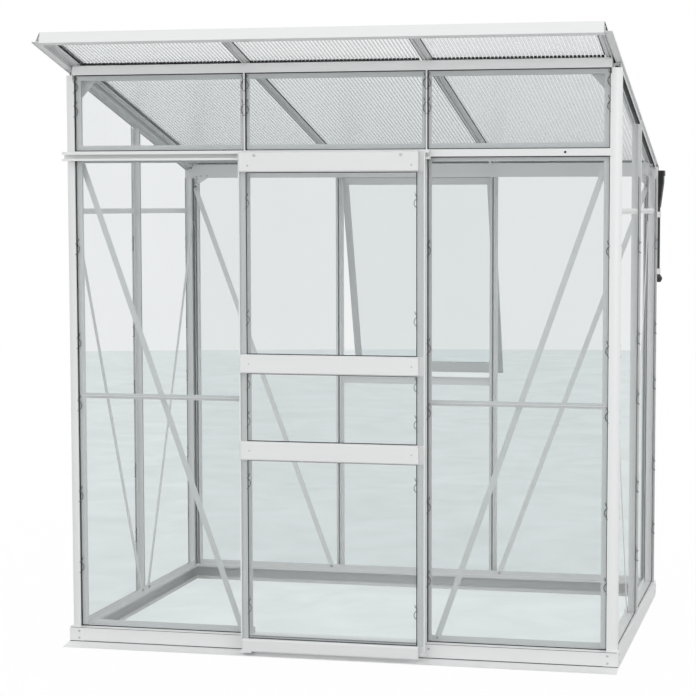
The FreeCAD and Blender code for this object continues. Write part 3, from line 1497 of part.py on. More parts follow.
top_rail = new_body("window_top_rail")
top_rail_outline = [
    ("window_near", "window_top"), ("window_far", "window_top"), ("window_far", "window_top_low"),
    ("slot_far", "window_top_low"), ("slot_far", "window_top_low + window_slot"),
    ("slot_near", "window_top_low + window_slot"), ("slot_near", "window_top_low"),
    ("window_near", "window_top_low"),
]
grow(top_rail, "YZ_Plane", [top_rail_outline], "-window_half", "window_width")
grow(top_rail, "YZ_Plane", [("circle", "0", "0", "bead_radius")], "-window_half", "window_width")
neck_step = "(neck_thickness / 2 * cos(45deg))"
neck_low = "window_top - neck_foot"
neck_outline = [
    ("neck_inset + " + neck_step, neck_step + " - neck_inset"),
    ("-window_top + " + neck_step, "window_top + " + neck_step), ("-window_top + " + neck_step, neck_low),
    ("-window_top - " + neck_step, neck_low), ("-window_top - " + neck_step, "window_top - " + neck_step),
    ("neck_inset - " + neck_step, "-neck_inset - " + neck_step),
]
grow(top_rail, "YZ_Plane", [neck_outline], "-window_half", "window_width")
keep(on_hinge(top_rail))

bottom_rail = new_body("window_bottom_rail")
bottom_rail_outline = [
    ("window_near", "window_foot"), ("window_far", "window_foot"), ("window_far", "window_foot_high"),
    ("slot_far", "window_foot_high"), ("slot_far", "window_foot_high - window_slot"),
    ("slot_near", "window_foot_high - window_slot"), ("slot_near", "window_foot_high"),
    ("window_near", "window_foot_high"),
]
grow(bottom_rail, "YZ_Plane", [bottom_rail_outline], "-window_half", "window_width")
keep(on_hinge(bottom_rail))


def side_rail(label, side):
    body = new_body(label)
    inner = "window_half - window_side_rail"
    section = [
        ("window_half", "window_near"), ("window_half", "window_far"), (inner, "window_far"),
        (inner, "slot_far"),
        (inner + " + window_slot", "slot_far"), (inner + " + window_slot", "slot_near"), (inner, "slot_near"),
        (inner, "window_near"),
    ]
    outline = [("%s(%s)" % (side, x), y) for x, y in section]
    grow(body, "XY_Plane", [outline], "window_foot_high", "window_top_low - window_foot_high")
    return on_hinge(body)


group("window_side_rails", [side_rail("window_side_rail_" + side, sign) for side, sign in signs])

window_pane = new_body("window_glass")
pane_half = "(window_half - window_side_rail + window_slot - glass_clearance)"
window_pane_outline = box_loop("-" + pane_half, "window_foot_high - window_slot + glass_clearance", pane_half,
                               "window_top_low + window_slot - glass_clearance")
grow(window_pane, "XZ_Plane", [window_pane_outline], "window_near + (window_depth - glass_thickness) / 2",
     "glass_thickness")
keep(on_hinge(window_pane))

# The hinge bar: a socket, open to the outside, in which the window's bead turns

hinge_bar = new_body("window_hinge_bar")


def rim(radius, angle):
    """A point of the socket, the angle being measured from straight down towards the outside."""
    return "%s * sin(%s * 1deg)" % (radius, angle), "-%s * cos(%s * 1deg)" % (radius, angle)


ring_outline = [
    rim("socket_outer", "mouth_high"), rim("socket_outer", "ring_near") + ("socket_outer",),
    rim("socket_outer", "ring_middle"), rim("socket_outer", "ring_far") + ("socket_outer",),
    rim("socket_outer", "ring_end"), rim("socket_radius", "ring_end"),
    rim("socket_radius", "ring_far") + ("socket_radius",), rim("socket_radius", "ring_middle"),
    rim("socket_radius", "ring_near") + ("socket_radius",), rim("socket_radius", "mouth_high"),
]
grow(hinge_bar, "YZ_Plane", [ring_outline], "-sill_end", "2 * sill_end")
hanger = box_loop("hinge_setback - flange_back", "socket_radius + hanger_lap", "hinge_setback - flange_face",
                  "hinge_drop - back_beam_lip")
grow(hinge_bar, "YZ_Plane", [hanger], "-sill_end", "2 * sill_end")
set_place(hinge_bar, "0", "hinge_depth", "hinge_height")
keep(hinge_bar)

doc.recompute()

for item in doc.Objects:
    if "Invalid" in item.State or "Error" in item.State:
        raise RuntimeError("%s did not build: %s" % (item.Label, item.State))
for pocket in pockets:
    before = pocket.BaseFeature.Shape.Volume if pocket.BaseFeature else 0
    if not pocket.Shape.Volume < before - 0.1:
        raise RuntimeError("%s removes nothing" % pocket.Label)

total = 0
for piece in pieces:
    shape = piece.Shape
    if shape.isNull() or not shape.isValid():
        raise RuntimeError("%s has no sound shape" % piece.Label)
    shape.exportStep("parts/%s.step" % piece.Label)
    total += len(shape.Solids)
print("%d nodes, %d solids" % (len(pieces), total))
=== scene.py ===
import math
import bmesh
import bpy
import numpy as np
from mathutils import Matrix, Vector


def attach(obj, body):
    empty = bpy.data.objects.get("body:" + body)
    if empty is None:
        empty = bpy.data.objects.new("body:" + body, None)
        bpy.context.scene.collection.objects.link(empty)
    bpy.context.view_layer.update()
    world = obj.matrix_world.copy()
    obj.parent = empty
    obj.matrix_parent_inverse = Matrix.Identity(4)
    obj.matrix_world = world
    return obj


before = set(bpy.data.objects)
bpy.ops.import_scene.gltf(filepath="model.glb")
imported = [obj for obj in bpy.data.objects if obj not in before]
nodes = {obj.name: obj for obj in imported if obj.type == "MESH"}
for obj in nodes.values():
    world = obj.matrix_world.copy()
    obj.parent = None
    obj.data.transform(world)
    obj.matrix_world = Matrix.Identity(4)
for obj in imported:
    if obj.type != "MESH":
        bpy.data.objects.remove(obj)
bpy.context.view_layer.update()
print("frame loaded:", len(nodes), "nodes")

# the house in metres and its roof's fall in degrees, with x to the right, y to the back and z up
house = {
    "width": 1.930,
    "depth": 1.310,
    "baseDepth": 0.044,
    "barPlace": 0.315,
    "rafterPlace": 0.924,
    "roofHeight": 2.018,
    "roofAngle": 13.87,
}


# Shaders

def newMaterial(name):
    material = bpy.data.materials.new(name)
    material.use_nodes = True
    tree = material.node_tree
    shader = tree.nodes["Principled BSDF"]
    return material, tree, shader


def feed(tree, socket, given):
    # a socket gets either a link from another socket or a plain value
    if isinstance(given, bpy.types.NodeSocket):
        tree.links.new(given, socket)
    else:
        socket.default_value = given


def mathNode(tree, operation, *inputs):
    # one step of arithmetic on numbers and sockets
    node = tree.nodes.new("ShaderNodeMath")
    node.operation = operation
    for socket, given in zip(node.inputs, inputs):
        feed(tree, socket, given)
    return node.outputs[0]


def scaledColour(tree, colour, share):
    tint = tree.nodes.new("ShaderNodeVectorMath")
    tint.operation = "SCALE"
    feed(tree, tint.inputs[0], colour)
    feed(tree, tint.inputs["Scale"], share)
    return tint.outputs["Vector"]


def noiseNode(tree, vector, scale, detail, distortion=0.0):
    noise = tree.nodes.new("ShaderNodeTexNoise")
    feed(tree, noise.inputs["Vector"], vector)
    feed(tree, noise.inputs["Scale"], scale)
    noise.inputs["Detail"].default_value = detail
    noise.inputs["Distortion"].default_value = distortion
    return noise.outputs["Fac"]


def newGroup(name, colour, values, outputs):
    # a group with a vector, a colour and some values in, each with what it is when left unset
    group = bpy.data.node_groups.new(name, "ShaderNodeTree")
    group.interface.new_socket("Vector", in_out="INPUT", socket_type="NodeSocketVector")
    socket = group.interface.new_socket("Colour", in_out="INPUT", socket_type="NodeSocketColor")
    socket.default_value = colour + (1,)
    for label, value in values.items():
        socket = group.interface.new_socket(label, in_out="INPUT", socket_type="NodeSocketFloat")
        socket.default_value = value
    group.interface.new_socket("Colour", in_out="OUTPUT", socket_type="NodeSocketColor")
    for label in outputs:
        group.interface.new_socket(label, in_out="OUTPUT", socket_type="NodeSocketFloat")
    given = group.nodes.new("NodeGroupInput").outputs
    put = group.nodes.new("NodeGroupOutput").inputs
    return group, given, put


drawnMetal = {
    "colour": (0.8, 0.8, 0.8),
    "values": {"Streak": 0.06, "Patch": 0.05, "Roughness": 0.4},
    "streak": {"scale": 1.0, "detail": 3.0},
    "patch": {"scale": 0.012, "detail": 2.0},
    "darkest": 0.97,
}


def drawnMetalGroup():
    # long streaks along one direction, over broad soft patches
    look = drawnMetal
    group, given, put = newGroup("drawn metal", look["colour"], look["values"], ["Roughness", "Height"])
    streak = noiseNode(group, given["Vector"], **look["streak"])
    patch = noiseNode(group, given["Vector"], **look["patch"])
    streaked = mathNode(group, "MULTIPLY_ADD", streak, given["Streak"], look["darkest"])
    tone = mathNode(group, "MULTIPLY_ADD", patch, given["Patch"], streaked)
    feed(group, put["Colour"], scaledColour(group, given["Colour"], tone))
    feed(group, put["Roughness"], mathNode(group, "MULTIPLY", given["Roughness"], tone))
    feed(group, put["Height"], streak)
    return group


mouldedGrain = {
    "colour": (0.5, 0.5, 0.5),
    "values": {"Grain": 900.0, "Depth": 0.12},
    "detail": 2.0,
    "slow": {"scale": 14.0, "detail": 2.0},
    "darkest": 0.94,
}


def mouldedGrainGroup():
    # fine moulded grain with a slow change of tone
    look = mouldedGrain
    group, given, put = newGroup("moulded grain", look["colour"], look["values"], ["Height"])
    grain = noiseNode(group, given["Vector"], given["Grain"], look["detail"])
    slow = noiseNode(group, given["Vector"], **look["slow"])
    tone = mathNode(group, "MULTIPLY_ADD", slow, given["Depth"], look["darkest"])
    feed(group, put["Colour"], scaledColour(group, given["Colour"], tone))
    feed(group, put["Height"], grain)
    return group


metalGroup = drawnMetalGroup()
grainGroup = mouldedGrainGroup()


def placedGroup(tree, group, scale):
    # the object's own coordinates, stretched, into a shader group
    coordinate = tree.nodes.new("ShaderNodeTexCoord")
    mapping = tree.nodes.new("ShaderNodeMapping")
    mapping.inputs["Scale"].default_value = scale
    tree.links.new(coordinate.outputs["Object"], mapping.inputs["Vector"])
    use = tree.nodes.new("ShaderNodeGroup")
    use.node_tree = group
    tree.links.new(mapping.outputs["Vector"], use.inputs["Vector"])
    return use


def bumpInto(tree, shader, height, strength, distance):
    bump = tree.nodes.new("ShaderNodeBump")
    bump.inputs["Strength"].default_value = strength
    bump.inputs["Distance"].default_value = distance
    tree.links.new(height, bump.inputs["Height"])
    tree.links.new(bump.outputs["Normal"], shader.inputs["Normal"])


aluminiumLook = {
    "colour": (0.85, 0.86, 0.86),
    "roughness": 0.44,
    "metallic": 0.2,
    "streak": 0.05,
    "patch": 0.04,
    "bump": {"strength": 0.08, "distance": 0.0002},
    "grain": {"along": 12.0, "across": 900.0},
}


def aluminium(along):
    material, tree, shader = newMaterial("drawn aluminium " + along)
    grain = aluminiumLook["grain"]
    stretch = [grain["along"] if axis == along else grain["across"] for axis in "xyz"]
    use = placedGroup(tree, metalGroup, stretch)
    use.inputs["Colour"].default_value = aluminiumLook["colour"] + (1,)
    use.inputs["Streak"].default_value = aluminiumLook["streak"]
    use.inputs["Patch"].default_value = aluminiumLook["patch"]
    use.inputs["Roughness"].default_value = aluminiumLook["roughness"]
    shader.inputs["Metallic"].default_value = aluminiumLook["metallic"]
    tree.links.new(use.outputs["Colour"], shader.inputs["Base Color"])
    tree.links.new(use.outputs["Roughness"], shader.inputs["Roughness"])
    bumpInto(tree, shader, use.outputs["Height"], **aluminiumLook["bump"])
    return material


mouldedBump = {"strength": 0.15, "distance": 0.0002}
plasticGrain, steelGrain = 900.0, 300.0


def moulded(name, colour, roughness, grain=plasticGrain, metallic=0.0):
    material, tree, shader = newMaterial(name)
    use = placedGroup(tree, grainGroup, (1, 1, 1))
    use.inputs["Colour"].default_value = colour + (1,)
    use.inputs["Grain"].default_value = grain
    shader.inputs["Roughness"].default_value = roughness
    shader.inputs["Metallic"].default_value = metallic
    tree.links.new(use.outputs["Colour"], shader.inputs["Base Color"])
    bumpInto(tree, shader, use.outputs["Height"], **mouldedBump)
    return material


glassLook = {"depth": 0.03, "spread": 0.15}


def clearGlass(name, colour, ior):
    # a low index keeps a pane clear also where it is seen almost from its edge
    material, tree, shader = newMaterial(name)
    use = placedGroup(tree, grainGroup, (glassLook["spread"],) * 3)
    use.inputs["Colour"].default_value = colour + (1,)
    use.inputs["Depth"].default_value = glassLook["depth"]
    shader.inputs["Roughness"].default_value = 0.0
    shader.inputs["IOR"].default_value = ior
    shader.inputs["Transmission Weight"].default_value = 1.0
    tree.links.new(use.outputs["Colour"], shader.inputs["Base Color"])
    return material


sheetLook = {
    "pitch": 0.013,
    # the ramp's two ends, each with its place between a web and the middle of a cell
    "web": {"place": 0.15, "colour": (0.86, 0.88, 0.885)},
    "cell": {"place": 0.55, "colour": (0.995, 0.998, 0.998)},
    "roughness": 0.2,
    "ior": 1.08,
    "through": 0.985,
}


def twinWall():
    # a grey line at every web of the sheet, by distance across the house
    material, tree, shader = newMaterial("clear twin-wall sheet")
    coordinate = tree.nodes.new("ShaderNodeTexCoord")
    split = tree.nodes.new("ShaderNodeSeparateXYZ")
    tree.links.new(coordinate.outputs["Object"], split.inputs["Vector"])
    half = sheetLook["pitch"] / 2
    repeat = mathNode(tree, "PINGPONG", split.outputs["X"], half)
    ramp = tree.nodes.new("ShaderNodeValToRGB")
    for element, end in zip(ramp.color_ramp.elements, ("web", "cell")):
        element.position = sheetLook[end]["place"]
        element.color = sheetLook[end]["colour"] + (1,)
    tree.links.new(mathNode(tree, "DIVIDE", repeat, half), ramp.inputs["Fac"])
    tree.links.new(ramp.outputs["Color"], shader.inputs["Base Color"])
    shader.inputs["Roughness"].default_value = sheetLook["roughness"]
    shader.inputs["IOR"].default_value = sheetLook["ior"]
    shader.inputs["Transmission Weight"].default_value = sheetLook["through"]
    return material


metals = {along: aluminium(along) for along in "zxy"}
paneGlass = clearGlass("clear glass", colour=(0.91, 0.928, 0.928), ior=1.12)
sideGlass = clearGlass("side wall glass", colour=(0.985, 0.99, 0.99), ior=1.006)
windowGlass = clearGlass("window glass", colour=(0.86, 0.89, 0.895), ior=1.12)
sheetPlastic = twinWall()
blackPlastic = moulded("black plastic", colour=(0.010, 0.010, 0.011), roughness=0.5)
palePlastic = moulded("pale plastic", colour=(0.74, 0.75, 0.75), roughness=0.5)
greyNylon = moulded("grey nylon", colour=(0.24, 0.25, 0.26), roughness=0.5)
# near-black rubber for the seals; it also makes black strips that are painted shade: the front foam, the
# right gable, beside the rafters and the front base's groove
sealRubberAndShade = moulded("seal rubber and painted shade", colour=(0.02, 0.02, 0.021), roughness=0.75)
zincSteel = moulded("zinc plated steel", colour=(0.60, 0.61, 0.62), roughness=0.35,
                    grain=steelGrain, metallic=0.85)
# near-black spring steel: its dark tone is painted shade round each clip; its highlights come from the
# lamps
springSteelAndShade = moulded("spring steel wire with painted shade", colour=(0.16, 0.16, 0.17), roughness=0.3,
                      grain=steelGrain, metallic=0.6)

# the drawn pieces by the direction in which they run
drawnPieces = {
    "x": [
        "base_front_rail", "base_back_rail", "front_sill_lip", "front_sill_bars", "back_sill_bar",
        "front_mid_rails", "window_sill_bar", "front_transom", "front_eave_beam", "back_eave_beam",
        "roof_front_fascia", "gutter", "door_track", "door_bottom_guide", "door_top_panel",
        "door_middle_rails", "door_bottom_panel", "window_top_rail", "window_bottom_rail",
        "window_hinge_bar",
    ],
    "y": [
        "base_side_rails", "side_sill_bars", "side_wall_mid_rails", "gable_bars", "edge_rafters",
        "middle_rafters", "roof_bar_caps", "roof_verges",
    ],
    "z": [
        "base_corner_brackets", "front_corner_posts", "back_corner_posts", "front_bars", "clerestory_bars",
        "back_bars", "side_wall_bars", "front_braces", "back_braces", "side_wall_braces", "gusset_plates",
        "door_stiles", "window_side_rails",
    ],
}
otherPieces = {
    "front_wall_glass": paneGlass,
    "clerestory_glass": paneGlass,
    "back_wall_glass": paneGlass,
    "door_glass": paneGlass,
    "side_wall_glass": sideGlass,
    "window_glass": windowGlass,
    "roof_sheets": sheetPlastic,
    "gutter_outlet": blackPlastic,
    "downpipe": blackPlastic,
    "downpipe_spout": blackPlastic,
    "downpipe_clips": palePlastic,
    "gutter_end_caps": greyNylon,
    "door_glides": palePlastic,
    "door_roller_left": greyNylon,
    "door_roller_right": greyNylon,
    "brace_bolts": zincSteel,
    "door_roller_axles": zincSteel,
}


def paint(thing, material):
    thing.data.materials.clear()
    thing.data.materials.append(material)


for along, names in drawnPieces.items():
    for name in names:
        paint(nodes[name], metals[along])
for name, material in otherPieces.items():
    paint(nodes[name], material)
print("finishes on", len(nodes), "frame nodes")


# Surfaces

def closedTube(rings):
    # rows of points round a section: faces between neighbouring rows and points, and one at each end
    rows, sides = rings.shape[:2]
    row, side = np.meshgrid(np.arange(rows - 1), np.arange(sides), indexing="ij")
    here, above = row * sides, (row + 1) * sides
    after = (side + 1) % sides
    quads = np.stack([here + side, here + after, above + after, above + side], -1)
    ends = [np.arange(sides)[::-1].tolist(), (np.arange(sides) + (rows - 1) * sides).tolist()]
    return rings.reshape(-1, 3), quads.reshape(-1, 4).tolist() + ends


# a direction in which no wire runs, and how far up an axis points before another guide serves it
wireGuide = np.array([0.31, 0.17, 0.93])
steep = 0.9


def wire(path, radius, sides):
    # a round wire along a path: each ring lies square to the path's run
    run = np.gradient(path, axis=0)
    run /= np.linalg.norm(run, axis=1, keepdims=True)
    aside = np.cross(run, wireGuide)
    aside /= np.linalg.norm(aside, axis=1, keepdims=True)
    other = np.cross(run, aside)
    turn = np.linspace(0, 2 * math.pi, sides, endpoint=False)[None, :, None]
    ring = aside[:, None] * np.cos(turn) + other[:, None] * np.sin(turn)
    return closedTube(path[:, None] + radius * ring)


def turned(profile, sides, centre, axis):
    # a profile of (radius, distance) pairs carried round an axis
    axis = np.array(axis, float)
    upright = abs(axis[2]) > steep
    aside = np.cross(axis, [1.0, 0.0, 0.0] if upright else [0.0, 0.0, 1.0])
    aside /= np.linalg.norm(aside)
    other = np.cross(axis, aside)
    turn = np.linspace(0, 2 * math.pi, sides, endpoint=False)
    ring = np.cos(turn)[:, None] * aside + np.sin(turn)[:, None] * other
    radius, distance = np.array(profile, float).T[:, :, None]
    return closedTube(np.array(centre) + radius[:, None] * ring + (distance * axis)[:, None])


sharpAngle = math.radians(35)


def piece(name, parts, material, body="frame"):
    # many closed parts as one object, every face turned outwards
    points = np.concatenate([part for part, _ in parts])
    starts = np.cumsum([0] + [len(part) for part, _ in parts[:-1]]).tolist()
    faces = [[corner + start for corner in face]
             for start, (_, partFaces) in zip(starts, parts) for face in partFaces]
    mesh = bpy.data.meshes.new(name)
    mesh.from_pydata(points.tolist(), [], faces)
    shape = bmesh.new()
    shape.from_mesh(mesh)
    bmesh.ops.recalc_face_normals(shape, faces=shape.faces)
    shape.to_mesh(mesh)
    shape.free()
    mesh.materials.append(material)
    mesh.shade_smooth()
    mesh.set_sharp_from_angle(angle=sharpAngle)
    thing = bpy.data.objects.new(name, mesh)
    bpy.context.scene.collection.objects.link(thing)
    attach(thing, body)


def slab(low, high):
    # a plain block from its lowest to its highest corner
    low, high = np.array(low, float), np.array(high, float)
    around = [(0, 0), (1, 0), (1, 1), (0, 1)]
    pick = np.array([[(x, y, z) for x, y in around] for z in (0, 1)])
    return closedTube(low + pick * (high - low))


# each wall's middle at the floor, the direction along it and the direction inwards
halfWidth, halfDepth = house["width"] / 2, house["depth"] / 2
walls = {
    "front": (np.array([0, 0, 0]), np.array([1, 0, 0]), np.array([0, 1, 0])),
    "back": (np.array([0, house["depth"], 0]), np.array([-1, 0, 0]), np.array([0, -1, 0])),
    "left": (np.array([-halfWidth, halfDepth, 0]), np.array([0, -1, 0]), np.array([1, 0, 0])),
    "right": (np.array([halfWidth, halfDepth, 0]), np.array([0, 1, 0]), np.array([-1, 0, 0])),
}


def onWall(wall, u, w, z):
    # points given along a wall, inwards from its outer face, and up
    origin, along, inwards = walls[wall]
    u, w, z = np.broadcast_arrays(*[np.asarray(given, float) for given in (u, w, z)])
    spot = origin + u[..., None] * along + w[..., None] * inwards
    spot[..., 2] += z
    spot[..., 1] -= house["baseDepth"] / 2
    return spot


def wallSlab(wall, u, w, z):
    # a block between two places along a wall, two inwards and two up
    ends = onWall(wall, u, w, z)
    return slab(ends.min(0), ends.max(0))


# where the panes' edges lie: a post's lip in from the corner, a bar's half width, and the door's two stiles
paneEdge = {"post": 0.039, "bar": 0.0027, "door": (-0.2968, 0.2938)}
bar = house["barPlace"]
post, sidePost = halfWidth - paneEdge["post"], halfDepth - paneEdge["post"]
barOut, barIn = bar + paneEdge["bar"], bar - paneEdge["bar"]


# Glazing clips: a bent spring wire that hooks over a bar's lip and presses on the pane

clip = {
    # along the bar, out over the pane, and how far down on the glass, each as a share
    "bends": [
        (-1.0, 0.0, 0), (-0.80, 0.32, 1), (-0.60, 0.80, 1), (-0.35, 1.0, 1), (-0.05, 0.90, 1),
        (0.20, 0.50, 1), (0.40, 0.0, 0), (0.55, 0.32, 1), (0.75, 0.62, 1), (1.0, 0.75, 1),
    ],
    "half": 0.027,
    "reach": 0.0105,
    "hook": -0.0012,
    "wire": 0.0013,
    "sides": 5,
    # the wire's middle stands off by a little more than its radius
    "standOff": 1.1,
    # how far inwards the lip and the pane lie
    "wall": {"lip": 0.003, "glass": 0.012},
    "door": {"lip": -0.045, "glass": -0.0425},
    "low": [0.280, 0.531, 0.850, 1.067, 1.395],
    "high": [1.868, 1.950],
    "doorHeights": [0.172, 0.602, 0.814, 0.940, 1.159, 1.552],
}


def clipsOf(wall, spots, heights, lip, glass):
    # each spot is a lip's edge and the side on which the pane lies
    along, out, down = np.array(clip["bends"], float).T
    across = clip["hook"] + (clip["reach"] - clip["hook"]) * out
    inwards = lip + (glass - lip) * down - clip["wire"] * clip["standOff"]
    parts = []
    for u, side in spots:
        for z in heights:
            path = onWall(wall, u + side * across, inwards, z + clip["half"] * along)
            parts.append(wire(path, clip["wire"], clip["sides"]))
    return parts


lowSpots = [(-post, 1), (-barOut, -1), (barOut, 1), (post, -1)]
highSpots = lowSpots + [(-barIn, 1), (barIn, -1)]
sideSpots = [(-sidePost, 1), (-paneEdge["bar"], -1), (paneEdge["bar"], 1), (sidePost, -1)]
doorSpots = list(zip(paneEdge["door"], (1, -1)))
frontClips = clipsOf("front", lowSpots, clip["low"], **clip["wall"])
frontClips += clipsOf("front", highSpots, clip["high"], **clip["wall"])
sideClips = clipsOf("left", sideSpots, clip["low"], **clip["wall"])
sideClips += clipsOf("right", sideSpots, clip["low"], **clip["wall"])
backClips = clipsOf("back", lowSpots, clip["low"], **clip["wall"])
doorClips = clipsOf("front", doorSpots, clip["doorHeights"], **clip["door"])
piece("front_glazing_clips", frontClips, springSteelAndShade)
piece("back_glazing_clips", backClips, springSteelAndShade)
piece("side_glazing_clips", sideClips, springSteelAndShade)
piece("door_glazing_clips", doorClips, springSteelAndShade, "door")
print("glazing clips in place")


# Bolts, nuts and screws

nut = {
    "across": 0.008,
    "height": 0.0035,
    "edge": 0.0006,
    "shoulder": 0.93,
    # the bolt's end: radius and how far above the nut
    "thread": [(0.0027, 0), (0.0025, 0.003)],
}


def hexNut(wall, u, w, z):
    # a nut that stands inwards, with the end of its bolt
    radius, height, edge = nut["across"] / math.sqrt(3), nut["height"], nut["edge"]
    shoulder = radius * nut["shoulder"]
    profile = [(shoulder, 0), (radius, edge), (radius, height - edge), (shoulder, height)]
    profile += [(thread, height + rise) for thread, rise in nut["thread"]]
    return turned(profile, 6, onWall(wall, u, w, z), walls[wall][2])


# a head starts a little inside its face, and its crown ends flat at an angle in radians from its axis
dome = {"sink": -0.0002, "crown": 0.25, "rings": 4, "sides": 14}


def domeHead(wall, u, w, z, radius, rise):
    # a low round head outside a face
    angles = np.linspace(math.pi / 2, dome["crown"], dome["rings"])
    profile = [(radius, dome["sink"])]
    profile += [(radius * math.sin(angle), rise * math.cos(angle)) for angle in angles]
    return turned(profile, dome["sides"], onWall(wall, u, w, z), -walls[wall][2])


bracket = {
    "sheet": 0.0015,
    "screwIn": 0.034,
    "heights": (0.022, 0.047),
    "head": {"radius": 0.0048, "rise": 0.0013},
}
# one more screw beside the door's foot
footScrew = {"u": 0.325, "w": 0.0, "z": 0.042}
baseScrews = []
for wall, half in (("front", halfWidth), ("back", halfWidth), ("left", halfDepth), ("right", halfDepth)):
    for side in (-1, 1):
        for z in bracket["heights"]:
            u = side * (half - bracket["screwIn"])
            baseScrews.append(domeHead(wall, u, -bracket["sheet"], z, **bracket["head"]))
baseScrews.append(domeHead("front", **footScrew, **bracket["head"]))
piece("base_screws", baseScrews, zincSteel)

gusset = {
    "inwards": 0.040,
    "edge": 0.048,
    # from the plate's edge along the beam, and down from its top
    "alongBeam": [(0.006, 0.012), (0.024, 0.010), (0.050, 0.008)],
    # from the plate's edge, and down the post as a share of the plate's drop
    "downPost": [(0.006, 0.45), (0.006, 0.75)],
    "walls": [("front", 1.984, 0.084), ("back", 1.667, 0.050)],
}
gussetNuts = []
for wall, top, drop in gusset["walls"]:
    for side in (-1, 1):
        spots = gusset["alongBeam"] + [(inset, drop * share) for inset, share in gusset["downPost"]]
        for inset, down in spots:
            u = side * (halfWidth - gusset["edge"] - inset)
            gussetNuts.append(hexNut(wall, u, gusset["inwards"], top - down))
piece("gusset_nuts", gussetNuts, zincSteel)

panelScrew = {
    "across": (-0.285, 0.278),
    "inwards": -0.060,
    # each head's height, radius and rise: the top panel's is larger than those of the two middle rails
    "heads": [(1.671, 0.0034, 0.0016), (0.708, 0.0026, 0.0012), (1.003, 0.0026, 0.0012)],
}
panelScrews = [domeHead("front", u, panelScrew["inwards"], z, radius, rise)
               for u in panelScrew["across"] for z, radius, rise in panelScrew["heads"]]
piece("door_panel_screws", panelScrews, zincSteel, "door")

# a black dome on the transom that stands in for the shade in a hole there: painted shade
transomHoleShade = {"u": 0.780, "w": -0.005, "z": 1.711, "radius": 0.0042, "rise": 0.0008}
piece("transom_hole_shade", [domeHead("front", **transomHoleShade)], blackPlastic)
print("bolts and screws in place")


# Roof seals and painted shade: foam over the front and back beams, the front foam black as painted shade;
# black strips in the right gable and beside the rafters as painted shade

slope = math.radians(house["roofAngle"])


def onRoof(x, down, high):
    # points given across the house, down the slope from the front face, and square to the slope
    x, down, high = np.broadcast_arrays(*[np.asarray(given, float) for given in (x, down, high)])
    y = down * math.cos(slope) + high * math.sin(slope) - house["baseDepth"] / 2
    z = house["roofHeight"] - down * math.sin(slope) + high * math.cos(slope)
    return np.stack([x, y, z], -1)


def roofSlab(across, down, high):
    corners, faces = slab((across[0], down[0], high[0]), (across[1], down[1], high[1]))
    return onRoof(*corners.T), faces


foam = {
    "bays": [(-0.904, -0.335), (-0.295, 0.295), (0.335, 0.904)],
    "high": (0.0004, 0.0100),
    "front": (0.010, 0.034),
    "backEnds": (-0.036, -0.008),
    "pitch": 0.0130,
    "tooth": 0.0085,
}
backEave = house["depth"] / math.cos(slope)
backFoam = [backEave + end for end in foam["backEnds"]]
toothStarts = [x for low, high in foam["bays"] for x in np.arange(low, high - foam["tooth"], foam["pitch"])]
# the front foam is near black so that it stands in for the shade in the gap between the sheets and the
# front beam: painted shade; the back foam is the same foam in grey
frontFoamShadeParts = [roofSlab((x, x + foam["tooth"]), foam["front"], foam["high"]) for x in toothStarts]
piece("front_foam_and_shade", frontFoamShadeParts, sealRubberAndShade)
piece("back_foam_seals", [roofSlab(bay, backFoam, foam["high"]) for bay in foam["bays"]], greyNylon)

# in the right gable only, black strips as painted shade of the deep recess there: one under the glass
# channel, one inside it under the gable bar's web
gableShadeStrips = {
    "down": (0.066, 1.282),
    "inwards": [(0.0108, 0.0174), (0.0178, 0.0310)],
    "high": [(-0.0252, -0.0242), (-0.0130, -0.0108)],
}
gableShadeParts = [roofSlab((halfWidth - far, halfWidth - near), gableShadeStrips["down"], high)
              for (near, far), high in zip(gableShadeStrips["inwards"], gableShadeStrips["high"])]
piece("gable_shade_strips", gableShadeParts, sealRubberAndShade)

# beside each rafter's flange, just under the sheets, black strips as painted shade lines: on the two outer
# rafters under the overhang only
rafterShadeStrip = {
    "middle": (-0.260, 1.300),
    "edge": (-0.260, 0.006),
    "across": np.array((0.0166, 0.0192)),
    "high": (0.0076, 0.0101),
}
rafter = house["rafterPlace"]
rafterShadeLines = [
    (-rafter, 1, "edge"), (-bar, -1, "middle"), (-bar, 1, "middle"),
    (bar, -1, "middle"), (bar, 1, "middle"), (rafter, -1, "edge"),
]
rafterShadeParts = [roofSlab(np.sort(centre + side * rafterShadeStrip["across"]), rafterShadeStrip[run], rafterShadeStrip["high"])
               for centre, side, run in rafterShadeLines]
piece("rafter_shade_strips", rafterShadeParts, sealRubberAndShade)
print("roof seals in place")


# Joints, beads and rafter bolts

# fine dark lines of the front base: a dark joint over the sill lip, and under the rail's top edge a black
# strip as painted shade of the groove there
baseJointAndGrooveShade = [
    {"half": 0.9660, "inwards": (-0.0020, 0.0002), "up": (0.0100, 0.0117)},
    {"half": 0.9620, "inwards": (-0.0006, 0.0002), "up": (0.0578, 0.0590)},
]
baseJointAndShadeParts = [wallSlab("front", (-joint["half"], joint["half"]), joint["inwards"], joint["up"])
              for joint in baseJointAndGrooveShade]
piece("base_joint_and_groove_shade", baseJointAndShadeParts, sealRubberAndShade)

# thin rubber round the panes: how far inwards it lies, and where each opening ends below and above
bead = {
    "width": 0.0028,
    "wall": (0.0108, 0.0119),
    "door": (-0.0437, -0.0426),
    "front": (0.0642, 1.6988),
    "clerestory": (1.7232, 1.9838),
    "back": (0.0642, 1.6688),
    "side": (0.0642, 1.640),
    "doorPanes": [(0.0592, 0.6748), (0.7392, 0.9708), (1.0352, 1.6488)],
}


